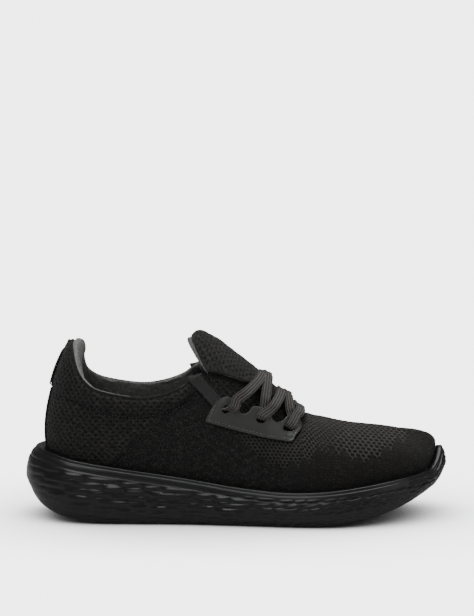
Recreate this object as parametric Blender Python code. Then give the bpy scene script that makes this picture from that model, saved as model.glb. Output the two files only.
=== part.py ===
"""Right-foot knit running shoe, built as separate solids around one lofted upper and one cupped sole.

Sizes are millimetres in this file and become metres when a mesh is made. Station x runs from 0 at the
back of the sole to LENGTH at the toe; y is negative on the outer (lateral) side; z is up from the ground.
The finished object is centred on x, so its origin is on the ground under the middle of the sole.
"""

import math

import bmesh
import bpy
import numpy as np
from mathutils import Vector

MM = 0.001
LENGTH = 300.0
GAP = 0.3

# Master stations, toe to heel. The first three columns are the plan outline of the sole at its widest.
# The rest place the upper's top edge above that station: the ridge over the toes, then the tongue
# opening, then the collar. Lean is the wall's slope at that edge and pull its tangent length.
#   x     lateral  medial  top x  centre y  half width  top z  lean  pull
STATIONS = [
    (300, 8.0, 8.0, 262, 5.0, 0.0, 61.4, 10, 0.36),
    (294, -12.0, 25.0, 258, 5.0, 0.0, 61.7, 9, 0.40),
    (275, -33.5, 39.5, 246, 4.0, 0.0, 62.8, 4, 0.48),
    (245, -48.5, 49.5, 227, 3.0, 0.0, 64.7, 0, 0.50),
    (212, -54.0, 54.0, 207, 1.5, 0.0, 69.4, 0, 0.48),
    (200, -53.6, 52.0, 199, 0.5, 0.0, 71.8, 4, 0.46),
    (197.5, -53.4, 51.4, 197, 0.3, 5.0, 72.0, 10, 0.45),
    (193, -53.0, 50.0, 192, 0.0, 8.4, 73.2, 22, 0.44),
    (184, -52.0, 47.5, 184, 0.0, 13.5, 78.5, 38, 0.43),
    (170, -50.2, 43.5, 170, 0.0, 18.5, 89.0, 48, 0.42),
    (150, -47.4, 39.0, 150, 0.0, 23.0, 98.0, 58, 0.40),
    (132, -45.0, 36.6, 133, 0.0, 26.5, 103.5, 66, 0.37),
    (124, -44.2, 36.2, 124, 0.0, 28.5, 104.5, 74, 0.35),
    (112, -43.2, 36.2, 112, 0.0, 31.0, 96.5, 82, 0.33),
    (90, -42.3, 37.5, 90, 0.0, 33.0, 89.4, 88, 0.32),
    (66, -42.0, 40.0, 68, 0.0, 33.0, 90.4, 88, 0.31),
    (45, -41.0, 41.0, 49, 0.0, 31.0, 95.5, 88, 0.30),
    (28, -37.5, 38.0, 40, 0.0, 26.5, 104.0, 84, 0.30),
    (14, -29.0, 29.5, 35, 0.0, 20.5, 115.5, 78, 0.30),
    (4, -16.0, 16.2, 33, 0.0, 11.0, 123.5, 68, 0.30),
    (0, 0.0, 0.0, 32.5, 0.0, 0.0, 125.5, 62, 0.30),
]

# Heights and insets of the sole along the station x.
SOLE_BOTTOM = [(0, 24), (7, 14.5), (20, 6.5), (37, 2.2), (57, 0.3), (68, 0), (80, 0), (185, 0), (197, 0),
               (208, 0.25), (219, 0.9), (240, 3.8), (262, 10), (283, 18.5), (294, 24.2), (300, 30)]
BULGE_HEIGHT = [(0, 29), (20, 22), (60, 16), (120, 13), (200, 12), (240, 15), (270, 21), (290, 30),
                (300, 37)]
RIM_HEIGHT = [(0, 50), (12, 49), (33, 45.5), (67, 40.2), (111, 33.8), (154, 27.4), (182, 25.0),
              (212, 25.8), (240, 28.7), (265, 31.8), (285, 34.0), (293, 36.0), (297, 41.0), (300, 48)]
RIM_INSET = [(0, 11), (20, 9), (50, 6.5), (100, 5), (200, 4.5), (285, 4.5), (300, 3.6)]
FOOTBED = [(10, 28.5), (60, 27.5), (100, 24.5), (150, 19.5), (190, 16.8), (212, 16.5), (240, 18.5),
           (262, 23.0), (283, 30), (292, 34)]
FOOT_EDGE = 6.0            # inset of the sidewall's foot from the widest line
RIM_WALL = 3.5             # thickness of the cup's rim
MIDSOLE_CLEAR = 0.8        # the treads stand this far below the midsole
TREAD_DEPTH = 3.0

# Layers of the upper, as depths below its outer face.
KNIT = 1.8
COUNTER = (KNIT + GAP, 3.4)
LINING = 0.9
FOAM_START = KNIT + GAP

# Where the upper is cut into pieces.
FLEX_REAR = 197.0          # the band between these two stations creases when the toe flexes
FLEX_FRONT = 243.0
SEAM_FOOT = (66.0, 38.0)   # heel seam, from the sole line up to the collar
SEAM_HEAD = (108.6, 78.0)

# Joint axes, in station coordinates (x, z). All three run across the shoe.
TOE_FLEX = (212.0, 26.0)
TONGUE_FOLD = (157.0, 111.5)
TAB_SWING = (19.0, 93.0)

COLUMNS_A_SIDE = 34
ROWS = [-1.0, -0.5, 0.0, 0.1, 0.22, 0.35, 0.48, 0.5, 0.6, 0.72, 0.83, 0.92, 0.965, 1.0]

COLOURS = {
    "sole": ((0.012, 0.012, 0.013), 0.55),
    "rubber": ((0.010, 0.010, 0.011), 0.6),
    "knit": ((0.014, 0.013, 0.012), 0.9),
    "eyestay": ((0.045, 0.047, 0.045), 0.5),
    "lining": ((0.09, 0.092, 0.088), 0.75),
    "lace": ((0.035, 0.032, 0.030), 0.8),
    "webbing": ((0.022, 0.022, 0.022), 0.8),
    "foam": ((0.12, 0.12, 0.12), 0.9),
    "board": ((0.35, 0.33, 0.30), 0.9),
}


# ---------------------------------------------------------------- curves

def hermite(knots, values, t):
    """Cubic through the knots, with each slope taken from its neighbours."""
    slopes = np.gradient(values, knots)
    i = np.clip(np.searchsorted(knots, t, side="right") - 1, 0, len(knots) - 2)
    width = knots[i + 1] - knots[i]
    s = (t - knots[i]) / width
    return ((1 + 2 * s) * (1 - s) ** 2 * values[i] + s * (1 - s) ** 2 * width * slopes[i]
            + s * s * (3 - 2 * s) * values[i + 1] + s * s * (s - 1) * width * slopes[i + 1])


def along(table, x):
    """Value of a station table at x, held level past its ends."""
    knots, values = np.array(table, float).T
    return hermite(knots, values, np.clip(x, knots[0], knots[-1]))


def station_knots():
    """Stations as shares of the half outline's length, 0 at the toe tip and 1 at the heel."""
    table = np.array(STATIONS, float)
    half = (table[:, 2] - table[:, 1]) / 2
    steps = np.hypot(np.diff(table[:, 0]), np.diff(half))
    return np.concatenate([[0], np.cumsum(steps)]) / steps.sum()


KNOTS = station_knots()


def station_value(column, g):
    """A column of STATIONS at ring position g: 0 toe, 0 to 1 lateral side, 1 heel, -1 to 0 medial side.
    The table is continued past the heel by its own other side, so both ends close smoothly."""
    table = np.array(STATIONS, float)
    lateral, medial = table[:, column], table[:, 2 if column == 1 else column]
    knots = np.concatenate([-KNOTS[:0:-1], KNOTS])
    values = np.concatenate([medial[:0:-1], lateral])
    knots = np.concatenate([[KNOTS[-2] - 2], knots, [2 - KNOTS[-2]]])
    values = np.concatenate([[lateral[-2]], values, [medial[-2]]])
    return hermite(knots, values, g)


def outline(g):
    """Plan point of the sole's widest line at ring position g."""
    return np.stack([station_value(0, g), station_value(1, g)], axis=-1)


def inward(g):
    """Unit plan normal of the outline, pointing into the shoe."""
    step = 1e-4
    tangent = outline(np.clip(g + step, -1, 1)) - outline(np.clip(g - step, -1, 1))
    tangent /= np.linalg.norm(tangent, axis=-1, keepdims=True)
    return np.stack([tangent[..., 1], -tangent[..., 0]], axis=-1)


def ring_at(x):
    """Ring position, on the lateral side, of the outline's station x."""
    g = np.linspace(0, 1, 2001)
    return float(np.interp(-x, -station_value(0, g), g))


# ---------------------------------------------------------------- the upper's outer face

def cup_inset(x):
    """Inset of the inside of the sole's rim."""
    return along(RIM_INSET, x) + RIM_WALL


def rim_point(g):
    """Where the upper leaves the sole: just inside the rim, at its height."""
    plan = outline(g)
    inset = (cup_inset(plan[..., 0]) + GAP + 0.1)[..., None]
    height = along(RIM_HEIGHT, plan[..., 0])[..., None]
    return np.concatenate([plan + inward(g) * inset, height], axis=-1)


def top_point(g):
    """The upper's top edge: ridge, tongue opening or collar."""
    half = np.maximum(station_value(5, np.abs(g)), 0)
    side = np.where(g >= 0, -1.0, 1.0)
    return np.stack([station_value(3, np.abs(g)),
                     station_value(4, np.abs(g)) + side * half,
                     station_value(6, np.abs(g))], axis=-1)


def wall(g, t):
    """Point of the upper's outer face. t is -1 at the footbed, 0 at the rim and 1 at the top edge."""
    g, t = np.broadcast_arrays(np.asarray(g, float), np.asarray(t, float))
    rim, top = rim_point(g), top_point(g)
    normal = np.concatenate([inward(g), np.zeros(g.shape + (1,))], axis=-1)
    up = np.array([0.0, 0.0, 1.0])
    lean = np.radians(station_value(7, np.abs(g)))[..., None]
    pull = (station_value(8, np.abs(g)) * np.linalg.norm(top - rim, axis=-1))[..., None]
    flare = np.radians(10.0)
    ridge_rise = 0.2 * np.cos(lean) * np.clip(-normal[..., :1], 0, 1)
    first = rim + pull * (up * np.cos(flare) - normal * np.sin(flare))
    last = top - pull * (normal * np.cos(lean) + up * (np.sin(lean) + ridge_rise))
    s = np.clip(t, 0, 1)[..., None]
    curve = (1 - s) ** 3 * rim + 3 * s * (1 - s) ** 2 * first + 3 * s * s * (1 - s) * last + s ** 3 * top
    floor = along(FOOTBED, outline(g)[..., 0]) + GAP + 0.1
    drop = np.clip(-t, 0, 1) * (rim[..., 2] - floor)
    curve[..., 2] -= drop
    return curve


def wall_normal(g, t):
    """Outward unit normal of the upper's outer face."""
    e = 1e-3
    across = wall(np.clip(g + e, -1, 1), t) - wall(np.clip(g - e, -1, 1), t)
    upward = wall(g, np.clip(t + e, -1, 1)) - wall(g, np.clip(t - e, -1, 1))
    normal = np.cross(upward, across)
    return normal / (np.linalg.norm(normal, axis=-1, keepdims=True) + 1e-12)


def side_ring(x, z, side):
    """(g, t) of the upper's point at station x and height z. side is -1 lateral, 1 medial."""
    t = np.linspace(-1, 1, 201)
    g = ring_at(x)
    for _ in range(6):
        column = wall(np.full_like(t, -side * g), t)
        height = float(np.interp(z, column[:, 2], t))
        found = wall(-side * g, height)[0]
        g += (found - x) / 330.0
    return -side * g, height


def on_side(x, z, side, out):
    """Point that stands out from the upper at station x and height z."""
    g, t = side_ring(x, z, side)
    return wall(g, t) + out * wall_normal(g, t)


# ---------------------------------------------------------------- mesh helpers

def make_empty(name, x, z):
    empty = bpy.data.objects.new(name, None)
    empty.location = ((x - LENGTH / 2) * MM, 0, z * MM)
    bpy.context.scene.collection.objects.link(empty)
    return empty


def make_material(name):
    material = bpy.data.materials.get(name)
    if material is None:
        colour, roughness = COLOURS[name]
        material = bpy.data.materials.new(name)
        material.use_nodes = True
        shader = material.node_tree.nodes["Principled BSDF"]
        shader.inputs["Base Color"].default_value = (*colour, 1)
        shader.inputs["Roughness"].default_value = roughness
        shader.inputs["Metallic"].default_value = 0.0
    return material


def make_object(name, material, points, faces, parent=None):
    """Object from millimetre points, welded, with its faces out. It hangs on its joint's empty."""
    origin = Vector((0, 0, 0)) if parent is None else parent.location
    mesh = bpy.data.meshes.new(name)
    bm = bmesh.new()
    verts = [bm.verts.new(Vector(((p[0] - LENGTH / 2) * MM, p[1] * MM, p[2] * MM)) - origin) for p in points]
    for face in faces:
        corners = [verts[i] for i in dict.fromkeys(face)]
        if len(corners) > 2:
            bm.faces.new(corners)
    bmesh.ops.remove_doubles(bm, verts=bm.verts, dist=1e-6)
    bmesh.ops.dissolve_degenerate(bm, edges=bm.edges, dist=1e-7)
    bmesh.ops.recalc_face_normals(bm, faces=bm.faces)
    bm.to_mesh(mesh)
    bm.free()
    mesh.shade_smooth()
    mesh.materials.append(make_material(material))
    obj = bpy.data.objects.new(name, mesh)
    bpy.context.scene.collection.objects.link(obj)
    obj.parent = parent
    return obj


def slab(outer, inner, faces):
    """Closed solid between two faces with the same topology: (points, faces)."""
    count = len(outer)
    edges = {}
    for face in faces:
        for a, b in zip(face, face[1:] + face[:1]):
            edges.setdefault((min(a, b), max(a, b)), []).append((a, b))
    solid = [tuple(f) for f in faces] + [tuple(i + count for i in reversed(f)) for f in faces]
    solid += [(b, a, a + count, b + count) for (a, b), in (e for e in edges.values() if len(e) == 1)]
    return np.concatenate([outer, inner]), solid


def grid_faces(columns, rows):
    return [[i * rows + j, (i + 1) * rows + j, (i + 1) * rows + j + 1, i * rows + j + 1]
            for i in range(columns - 1) for j in range(rows - 1)]


def grid_slab(outer, inner):
    """Closed solid between two (columns, rows, 3) grids."""
    columns, rows = outer.shape[:2]
    return slab(outer.reshape(-1, 3), inner.reshape(-1, 3), grid_faces(columns, rows))


def cut(obj, cutter, operation="DIFFERENCE"):
    modifier = obj.modifiers.new(cutter.name, "BOOLEAN")
    modifier.object = cutter
    modifier.operation = operation
    modifier.solver = "EXACT"


def keep_side(obj, point, normal):
    """Cuts a solid by a plane across the shoe, drops what the normal points at, and closes the cut."""
    bm = bmesh.new()
    bm.from_mesh(obj.data)
    origin = obj.parent.location if obj.parent else Vector((0, 0, 0))
    at = Vector(((point[0] - LENGTH / 2) * MM, 0, point[1] * MM)) - origin
    plane = Vector((normal[0], 0, normal[1]))
    geometry = bm.verts[:] + bm.edges[:] + bm.faces[:]
    done = bmesh.ops.bisect_plane(bm, geom=geometry, plane_co=at, plane_no=plane, clear_outer=True)
    rim = [e for e in done["geom_cut"] if isinstance(e, bmesh.types.BMEdge)]
    bmesh.ops.triangle_fill(bm, edges=rim, use_beauty=True)
    bmesh.ops.recalc_face_normals(bm, faces=bm.faces)
    bm.to_mesh(obj.data)
    bm.free()


# ---------------------------------------------------------------- the sole

def ring_positions(count=COLUMNS_A_SIDE):
    """Positions round the whole ring: toe, lateral side, heel, medial side."""
    half = np.linspace(0, 1, count + 1)
    return np.concatenate([half, -half[-2:0:-1]])


def sole_ring(g, inset, height):
    """One ring of points. height is a number, a station table or a function of (x) at the inset point."""
    plan = outline(g)
    inset = inset(plan[:, 0]) if callable(inset) else np.full(len(g), float(inset))
    point = plan + inward(g) * inset[:, None]
    level = height(plan[:, 0], point[:, 0])
    return np.column_stack([point, level])


def sole_rings():
    """Rings of the cupped midsole, from its bottom face, round the sidewall and rim, to the footbed."""
    g = ring_positions()
    under = lambda x, at: along(SOLE_BOTTOM, at) + MIDSOLE_CLEAR
    rings = [sole_ring(g, FOOT_EDGE + 10, under), sole_ring(g, FOOT_EDGE, under)]
    for turn in (28, 58):
        a = math.radians(turn)
        rings.append(sole_ring(g, FOOT_EDGE * (1 - math.sin(a)),
                               lambda x, at: along(BULGE_HEIGHT, x) - math.cos(a)
                               * (along(BULGE_HEIGHT, x) - along(SOLE_BOTTOM, at) - MIDSOLE_CLEAR)))
    rings.append(sole_ring(g, 0.0, lambda x, at: along(BULGE_HEIGHT, x)))
    for share in (0.4, 0.75):
        rings.append(sole_ring(g, lambda x: along(RIM_INSET, x) * (1 - math.cos(share * math.pi / 2)),
                               lambda x, at: along(BULGE_HEIGHT, x) + math.sin(share * math.pi / 2) * 0.94
                               * (along(RIM_HEIGHT, x) - along(BULGE_HEIGHT, x))))
    rings.append(sole_ring(g, lambda x: along(RIM_INSET, x), lambda x, at: along(RIM_HEIGHT, x) - 1.0))
    rings.append(sole_ring(g, lambda x: along(RIM_INSET, x) + 0.8, lambda x, at: along(RIM_HEIGHT, x)))
    rings.append(sole_ring(g, cup_inset, lambda x, at: along(RIM_HEIGHT, x)))
    rings.append(sole_ring(g, cup_inset, lambda x, at: along(FOOTBED, x)))
    return rings


def across_faces(first, count):
    """Faces that close a ring straight across, lateral to medial. count is the ring's size."""
    half = count // 2
    other = lambda i: first + (count - i) % count
    return [[first + i, first + i + 1, other(i + 1), other(i)] for i in range(half)]


def ring_solid(rings):
    """Closed solid through stacked rings, its two ends closed straight across."""
    count = len(rings[0])
    faces = [list(reversed(f)) for f in across_faces(0, count)]
    for k in range(len(rings) - 1):
        for i in range(count):
            j = (i + 1) % count
            faces.append([k * count + i, k * count + j, (k + 1) * count + j, (k + 1) * count + i])
    faces += across_faces((len(rings) - 1) * count, count)
    return np.concatenate(rings), faces


def split_at_flex(name, material, points, faces, joint):
    """The same solid twice, cut at the toe flex axis: rear part fixed, front part on the joint."""
    rear = make_object(f"{name}_rear", material, points, faces)
    keep_side(rear, (TOE_FLEX[0] - GAP, 0), (1, 0))
    front = make_object(f"{name}_forefoot", material, points, faces, joint)
    keep_side(front, (TOE_FLEX[0] + GAP, 0), (-1, 0))
    return rear, front


def tread_points(x0, x1, inner, outer, side, lift=0.0, grow=0.0):
    """Grid of plan strips for a tread pad. inner and outer are distances from the middle line and from
    the outline; side is -1 lateral, 1 medial, 0 for a pad that spans the sole."""
    steps = max(2, int((x1 - x0) / 8))
    xs = np.linspace(x0 - grow, x1 + grow, steps + 1)
    edges = []
    for s in (-1, 1):
        ring = np.array([-s * ring_at(x) for x in xs])
        edges.append(station_value(1, ring) - s * (outer - grow))
    low = edges[0] if side <= 0 else np.full_like(xs, inner - grow)
    high = edges[1] if side >= 0 else np.full_like(xs, -inner + grow)
    share = np.linspace(0, 1, 4)[None, :]
    y = low[:, None] * (1 - share) + high[:, None] * share
    x = np.broadcast_to(xs[:, None], y.shape)
    return np.stack([x, y, along(SOLE_BOTTOM, x) + lift], axis=-1)


TREADS = [
    # name, start x, end x, half channel, edge inset, side, on the forefoot
    ("tread_heel_lateral", 22, 92, 8, 9.5, -1, False),
    ("tread_heel_medial", 22, 92, 8, 9.5, 1, False),
    ("tread_ball", 138, 205, 0, 8.5, 0, False),
    ("tread_toe", 219, 278, 0, 8.5, 0, True),
]


def build_sole(flex):
    points, faces = ring_solid(sole_rings())
    rear, front = split_at_flex("midsole", "sole", points, faces, flex)
    for name, x0, x1, inner, outer, side, forward in TREADS:
        top = tread_points(x0, x1, inner, outer, side, TREAD_DEPTH)
        bottom = tread_points(x0, x1, inner, outer, side)
        make_object(name, "rubber", *grid_slab(bottom, top), flex if forward else None)
        pocket_top = tread_points(x0, x1, inner, outer, side, TREAD_DEPTH + GAP, GAP)
        pocket_foot = tread_points(x0, x1, inner, outer, side, -6.0, GAP)
        pocket = make_object(f"{name}_pocket", "rubber", *grid_slab(pocket_foot, pocket_top))
        pocket.hide_render = True
        pocket.display_type = "WIRE"
        cut(front if forward else rear, pocket)


def build_insoles(flex):
    """Lasting board on the footbed, and the sockliner on the board."""
    board_inset = lambda x: cup_inset(x) + 5.8
    g = ring_positions()
    for name, material, low, high in (("lasting_board", "board", GAP, 1.5), ("sockliner", "foam", 1.8, 5.6)):
        rings = [sole_ring(g, board_inset, lambda x, at, h=h: along(FOOTBED, x) + h) for h in (low, high)]
        points, faces = ring_solid(rings)
        split_at_flex(name, material, points, faces, flex)


# ---------------------------------------------------------------- the upper

def upper_sheet():
    """One sheet over the whole upper: points, normals, ring positions, rows and faces.
    Each cut between two pieces is a pair of columns with no face between them."""
    half = list(np.linspace(0, 1, COLUMNS_A_SIDE + 1))
    cuts = []
    for x in (FLEX_REAR, FLEX_FRONT):
        middle = ring_at(x)
        width = ring_at(x - GAP) - ring_at(x)
        half = [h for h in half if abs(h - middle) > 0.012] + [middle - width, middle + width]
        cuts.append(middle)
    half = np.array(sorted(half))
    ring = np.concatenate([half, -half[-2:0:-1]])
    rows = np.array(ROWS)
    g, t = np.meshgrid(ring, rows, indexing="ij")
    points = wall(g, t).reshape(-1, 3)
    names = np.unique(np.round(points, 4), axis=0, return_inverse=True)[1].reshape(-1)
    faces, params = [], []
    for i in range(len(ring)):
        j = (i + 1) % len(ring)
        middle = (abs(ring[i]) + abs(ring[j])) / 2
        if any(abs(middle - c) < 1e-6 for c in cuts):
            continue
        for k in range(len(rows) - 1):
            quad = [i * len(rows) + k, j * len(rows) + k, j * len(rows) + k + 1, i * len(rows) + k + 1]
            faces.append(quad)
            sign = 1 if ring[i] > 0 or ring[j] > 0 else -1
            params.append((sign * middle, (rows[k] + rows[k + 1]) / 2))
    normals = np.zeros_like(points)
    merged = np.zeros((names.max() + 1, 3))
    for quad in faces:
        a, b, c, d = points[quad]
        face_normal = np.cross(c - a, d - b)
        for index in quad:
            merged[names[index]] += face_normal
    normals = merged[names]
    normals /= np.linalg.norm(normals, axis=1, keepdims=True)
    flip = np.sign((normals * wall_normal(g.ravel(), t.ravel())).sum(axis=1).mean())
    return {"points": points, "normals": normals * flip, "g": g.ravel(), "t": t.ravel(),
            "faces": faces, "params": np.array(params), "names": names}


def layer(sheet, name, material, near, far, low, high, outer, inner, parent=None, side=0):
    """A layer of the upper between stations near and far (toe end first) and rows low and high.
    outer and inner give its depths as functions of (|g|, t). side is -1 lateral, 1 medial, 0 both."""
    first, last = (0.0 if near >= LENGTH else ring_at(near)), (1.0 if far <= 0 else ring_at(far))
    keep = [f for f, (g, t) in zip(sheet["faces"], sheet["params"])
            if first < abs(g) < last and low < t < high and g * side <= 0]
    used = sorted({sheet["names"][i] for f in keep for i in f})
    place = {n: k for k, n in enumerate(used)}
    source = {sheet["names"][i]: i for f in keep for i in f}
    index = np.array([source[n] for n in used])
    faces = []
    for f in keep:
        corners = list(dict.fromkeys(place[sheet["names"][i]] for i in f))
        if len(corners) > 2:
            faces.append(corners)
    g, t = np.abs(sheet["g"][index]), sheet["t"][index]
    points, normals = sheet["points"][index], sheet["normals"][index]
    outside = points - normals * np.broadcast_to(outer(g, t), g.shape)[:, None]
    inside = points - normals * np.broadcast_to(inner(g, t), g.shape)[:, None]
    return make_object(name, material, *slab(outside, inside, faces), parent)


def foam_depth(g, t):
    """Inner face of the collar padding: a full roll under the topline that thins out at the counter."""
    x = station_value(0, g)
    thick = along([(0, 5.0), (14, 4.2), (30, 3.8), (60, 3.8), (100, 3.4), (124, 2.2)], x)
    lower = np.clip((t - 0.5) / 0.33, 0, 1)
    upper = np.clip((1.0 - t) / 0.05, 0, 1)
    return FOAM_START + 0.6 + thick * np.sin(lower * np.pi / 2) ** 0.8 * np.sqrt(upper * (2 - upper))


def lining_outer(g, t):
    """Outer face of the lining: against the counter low down, then over the padding to the topline."""
    below = COUNTER[1] + GAP
    padded = np.where(t > 0.99, FOAM_START, foam_depth(g, t) + 0.9)
    return np.where(t > 0.55, padded, np.maximum(below, padded))


def build_upper(flex):
    sheet = upper_sheet()
    flat = lambda depth: (lambda g, t: np.full_like(g, depth))
    seam = np.array(SEAM_HEAD) - np.array(SEAM_FOOT)
    seam /= np.linalg.norm(seam)
    across = np.array([seam[1], -seam[0]])

    heel = layer(sheet, "heel_quarter_knit", "knit", FLEX_REAR, 0, -1, 1, flat(0.0), flat(KNIT))
    keep_side(heel, tuple(np.array(SEAM_FOOT) - across * GAP / 2), tuple(across))
    for name, side in (("midfoot_knit_lateral", -1), ("midfoot_knit_medial", 1)):
        panel = layer(sheet, name, "knit", FLEX_REAR, 0, -1, 1, flat(0.0), flat(KNIT), side=side)
        keep_side(panel, tuple(np.array(SEAM_FOOT) + across * GAP / 2), tuple(-across))
    layer(sheet, "vamp_flex_knit", "knit", FLEX_FRONT, FLEX_REAR, -1, 1, flat(0.0), flat(KNIT))
    layer(sheet, "toe_box_knit", "knit", LENGTH, FLEX_FRONT, -1, 1, flat(0.0), flat(KNIT), flex)
    layer(sheet, "toe_puff", "board", LENGTH, 264, 0, 0.8, flat(KNIT + GAP), flat(3.1), flex)
    layer(sheet, "heel_counter", "board", 76, 0, -0.5, 0.48, flat(COUNTER[0]), flat(COUNTER[1]))
    layer(sheet, "collar_foam", "foam", 120, 0, 0.5, 0.965, flat(FOAM_START), foam_depth)
    layer(sheet, "collar_lining", "lining", 124, 0, -1, 1, lining_outer,
          lambda g, t: lining_outer(g, t) + LINING)


# ---------------------------------------------------------------- tongue

# Tongue sections from its top to its root under the vamp: x, crest height, half width, edge height.
TONGUE = [
    (116, 127.0, 29.5, 105.8),
    (122, 131.6, 30.3, 107.2),
    (132, 128.6, 29.8, 107.4),
    (150, 115.5, 26.2, 102.4),
    (165, 103.5, 21.8, 96.2),
    (175, 94.0, 17.0, 88.6),
    (184, 84.5, 11.2, 79.8),
    (189, 75.4, 7.6, 72.4),
    (195, 70.0, 6.6, 68.6),
    (203, 68.2, 6.0, 67.4),
]
TONGUE_FRONT = 203.0
TONGUE_TOP = 117.5
TONGUE_SLANT = 12.0        # its corners stop this far in front of the middle of its top
TONGUE_FOAM = 3.1


def tongue_value(column, x):
    return along([(row[0], row[column]) for row in TONGUE], x)


def tongue_face(x, v):
    """Outer face of the tongue. v runs from -1 to 1 across it."""
    x, v = np.broadcast_arrays(np.asarray(x, float), np.asarray(v, float))
    crest, edge = tongue_value(1, x), tongue_value(3, x)
    return np.stack([x, v * tongue_value(2, x), crest - (crest - edge) * np.abs(v) ** 2.1], axis=-1)


def tongue_normal(x, v):
    e = 0.02
    across = tongue_face(x, v + e) - tongue_face(x, v - e)
    back = tongue_face(x - 0.5, v) - tongue_face(x + 0.5, v)
    normal = np.cross(across, -back)
    normal /= np.linalg.norm(normal, axis=-1, keepdims=True)
    return normal * np.sign(normal[..., 2:])


def tongue_grid(x0, x1, reach, depth, columns=11):
    """Grid on the tongue, from x0 back to x1, at a depth below its face that may depend on v."""
    v = np.linspace(-1, 1, columns)
    v = v[np.abs(v) <= reach + 1e-6]
    s = np.linspace(0, 1, max(2, int(abs(x0 - x1) / 7)) + 1)[:, None]
    end = x1 + (TONGUE_SLANT * np.abs(v) ** 2.5 if x1 < 130 else 0.0 * v)
    x = x0 + (end[None, :] - x0) * s
    vv = np.broadcast_to(v[None, :], x.shape)
    down = depth(vv, x) if callable(depth) else np.full_like(x, depth)
    return tongue_face(x, vv) - tongue_normal(x, vv) * down[..., None]


def tongue_swell(v, x):
    """Share of the padding's full thickness: thin at the edges and where the tongue runs under the vamp."""
    return np.clip((1 - np.abs(v)) / 0.45, 0, 1) ** 0.7 * np.clip((192 - x) / 14, 0.05, 1)


def build_tongue(fold):
    layers = [
        ("knit", "knit", 1.0, 0.0, KNIT - 0.2),
        ("foam", "foam", 0.8, KNIT + 0.5,
         lambda v, x: KNIT + 0.65 + (TONGUE_FOAM - 0.3) * tongue_swell(v, x)),
        ("lining", "lining", 1.0, lambda v, x: KNIT + 0.9 + TONGUE_FOAM * tongue_swell(v, x),
         lambda v, x: KNIT + 1.7 + TONGUE_FOAM * tongue_swell(v, x)),
    ]
    crease = TONGUE_FOLD[0]
    for name, material, reach, outer, inner in layers:
        for part, x0, x1, parent in (("tongue_base", TONGUE_FRONT, crease + 1.2, None),
                                     ("tongue_flap", crease - 1.2, TONGUE_TOP, fold)):
            grids = [tongue_grid(x0, x1, reach, d) for d in (outer, inner)]
            make_object(f"{part}_{name}", material, *grid_slab(*grids), parent)


def build_gussets():
    """Knit gussets between the inside of the upper and the underside of the tongue."""
    for name, side in (("gusset_lateral", -1), ("gusset_medial", 1)):
        grids = []
        for out in (0.0, 1.2):
            rows = []
            for x in np.linspace(130, 177, 9):
                g = -side * ring_at(x)
                low = [wall(g, t) - wall_normal(g, t) * (KNIT + GAP + 0.1 + out) for t in (0.84, 0.97)]
                v = 0.70 * side
                under = KNIT + 2.1 + TONGUE_FOAM * tongue_swell(v, x) + out
                low.append(tongue_face(x, v) - tongue_normal(x, v) * under)
                rows.append(low)
            grids.append(np.array(rows))
        make_object(name, "knit", *grid_slab(*grids))


# ---------------------------------------------------------------- eyestays, straps and tapes

STAY_FOOT = [(128.5, 73.0), (150, 67.0), (172, 61.2), (192, 57.0)]      # stitched lower edge (x, z)
STAY_HEAD = [(135.5, 87.0), (152, 83.2), (175, 74.6), (197, 67.0)]      # free upper edge
LACE_HOLES = [(0.17, 0.70), (0.55, 0.68), (0.85, 0.58)]                 # (share along, share up)
SCALLOPS = [(0.385, 1.0), (0.70, 1.02)]
STAY_THICK = 1.3
HOLE_RADIUS = [3.2, 3.2, 3.9]


def stay_stand(a, b):
    """Stand-off of the eyestay's inner face: sewn flat at its foot and ends, lifted at its head."""
    ends = np.clip(a / 0.14, 0, 1) * np.clip((1 - a) / 0.09, 0, 1)
    return 0.6 + 4.4 * np.clip(b, 0, 1) ** 1.2 * math.sin(ends * math.pi / 2)


def stay_point(a, b, side, out=0.0):
    """Point of the eyestay: a along it from the back, b up from its foot."""
    foot = np.array([np.interp(a, np.linspace(0, 1, 4), [p[k] for p in STAY_FOOT]) for k in (0, 1)])
    head = np.array([np.interp(a, np.linspace(0, 1, 4), [p[k] for p in STAY_HEAD]) for k in (0, 1)])
    x, z = foot * (1 - b) + head * b
    return on_side(x, z, side, stay_stand(a, b) + out)


def stay_frame(a, b, side):
    """Middle of the eyestay's thickness at (a, b), its outward normal, and its direction to the head."""
    middle = stay_point(a, b, side, STAY_THICK / 2)
    up = stay_point(a, b + 0.05, side, STAY_THICK / 2) - stay_point(a, b - 0.05, side, STAY_THICK / 2)
    run = stay_point(a + 0.03, b, side, STAY_THICK / 2) - stay_point(a - 0.03, b, side, STAY_THICK / 2)
    normal = np.cross(run, up)
    normal *= np.sign(normal[1] * side) / np.linalg.norm(normal)
    return middle, normal, up / np.linalg.norm(up)


def stay_cutter(name, a, b, side, radius):
    """Short rod through the eyestay, square to it."""
    centre, axis, u = stay_frame(a, b, side)
    turn = np.linspace(0, 2 * math.pi, 16, endpoint=False)
    w = np.cross(axis, u)
    rings = [centre + axis * d + radius * (np.cos(turn)[:, None] * u + np.sin(turn)[:, None] * w)
             for d in (-4.0, 4.0)]
    count = len(turn)
    faces = [list(range(count))[::-1], list(range(count, 2 * count))]
    faces += [[i, (i + 1) % count, count + (i + 1) % count, count + i] for i in range(count)]
    cutter = make_object(name, "eyestay", np.concatenate(rings), faces)
    cutter.hide_render = True
    cutter.display_type = "WIRE"
    return cutter


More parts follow.
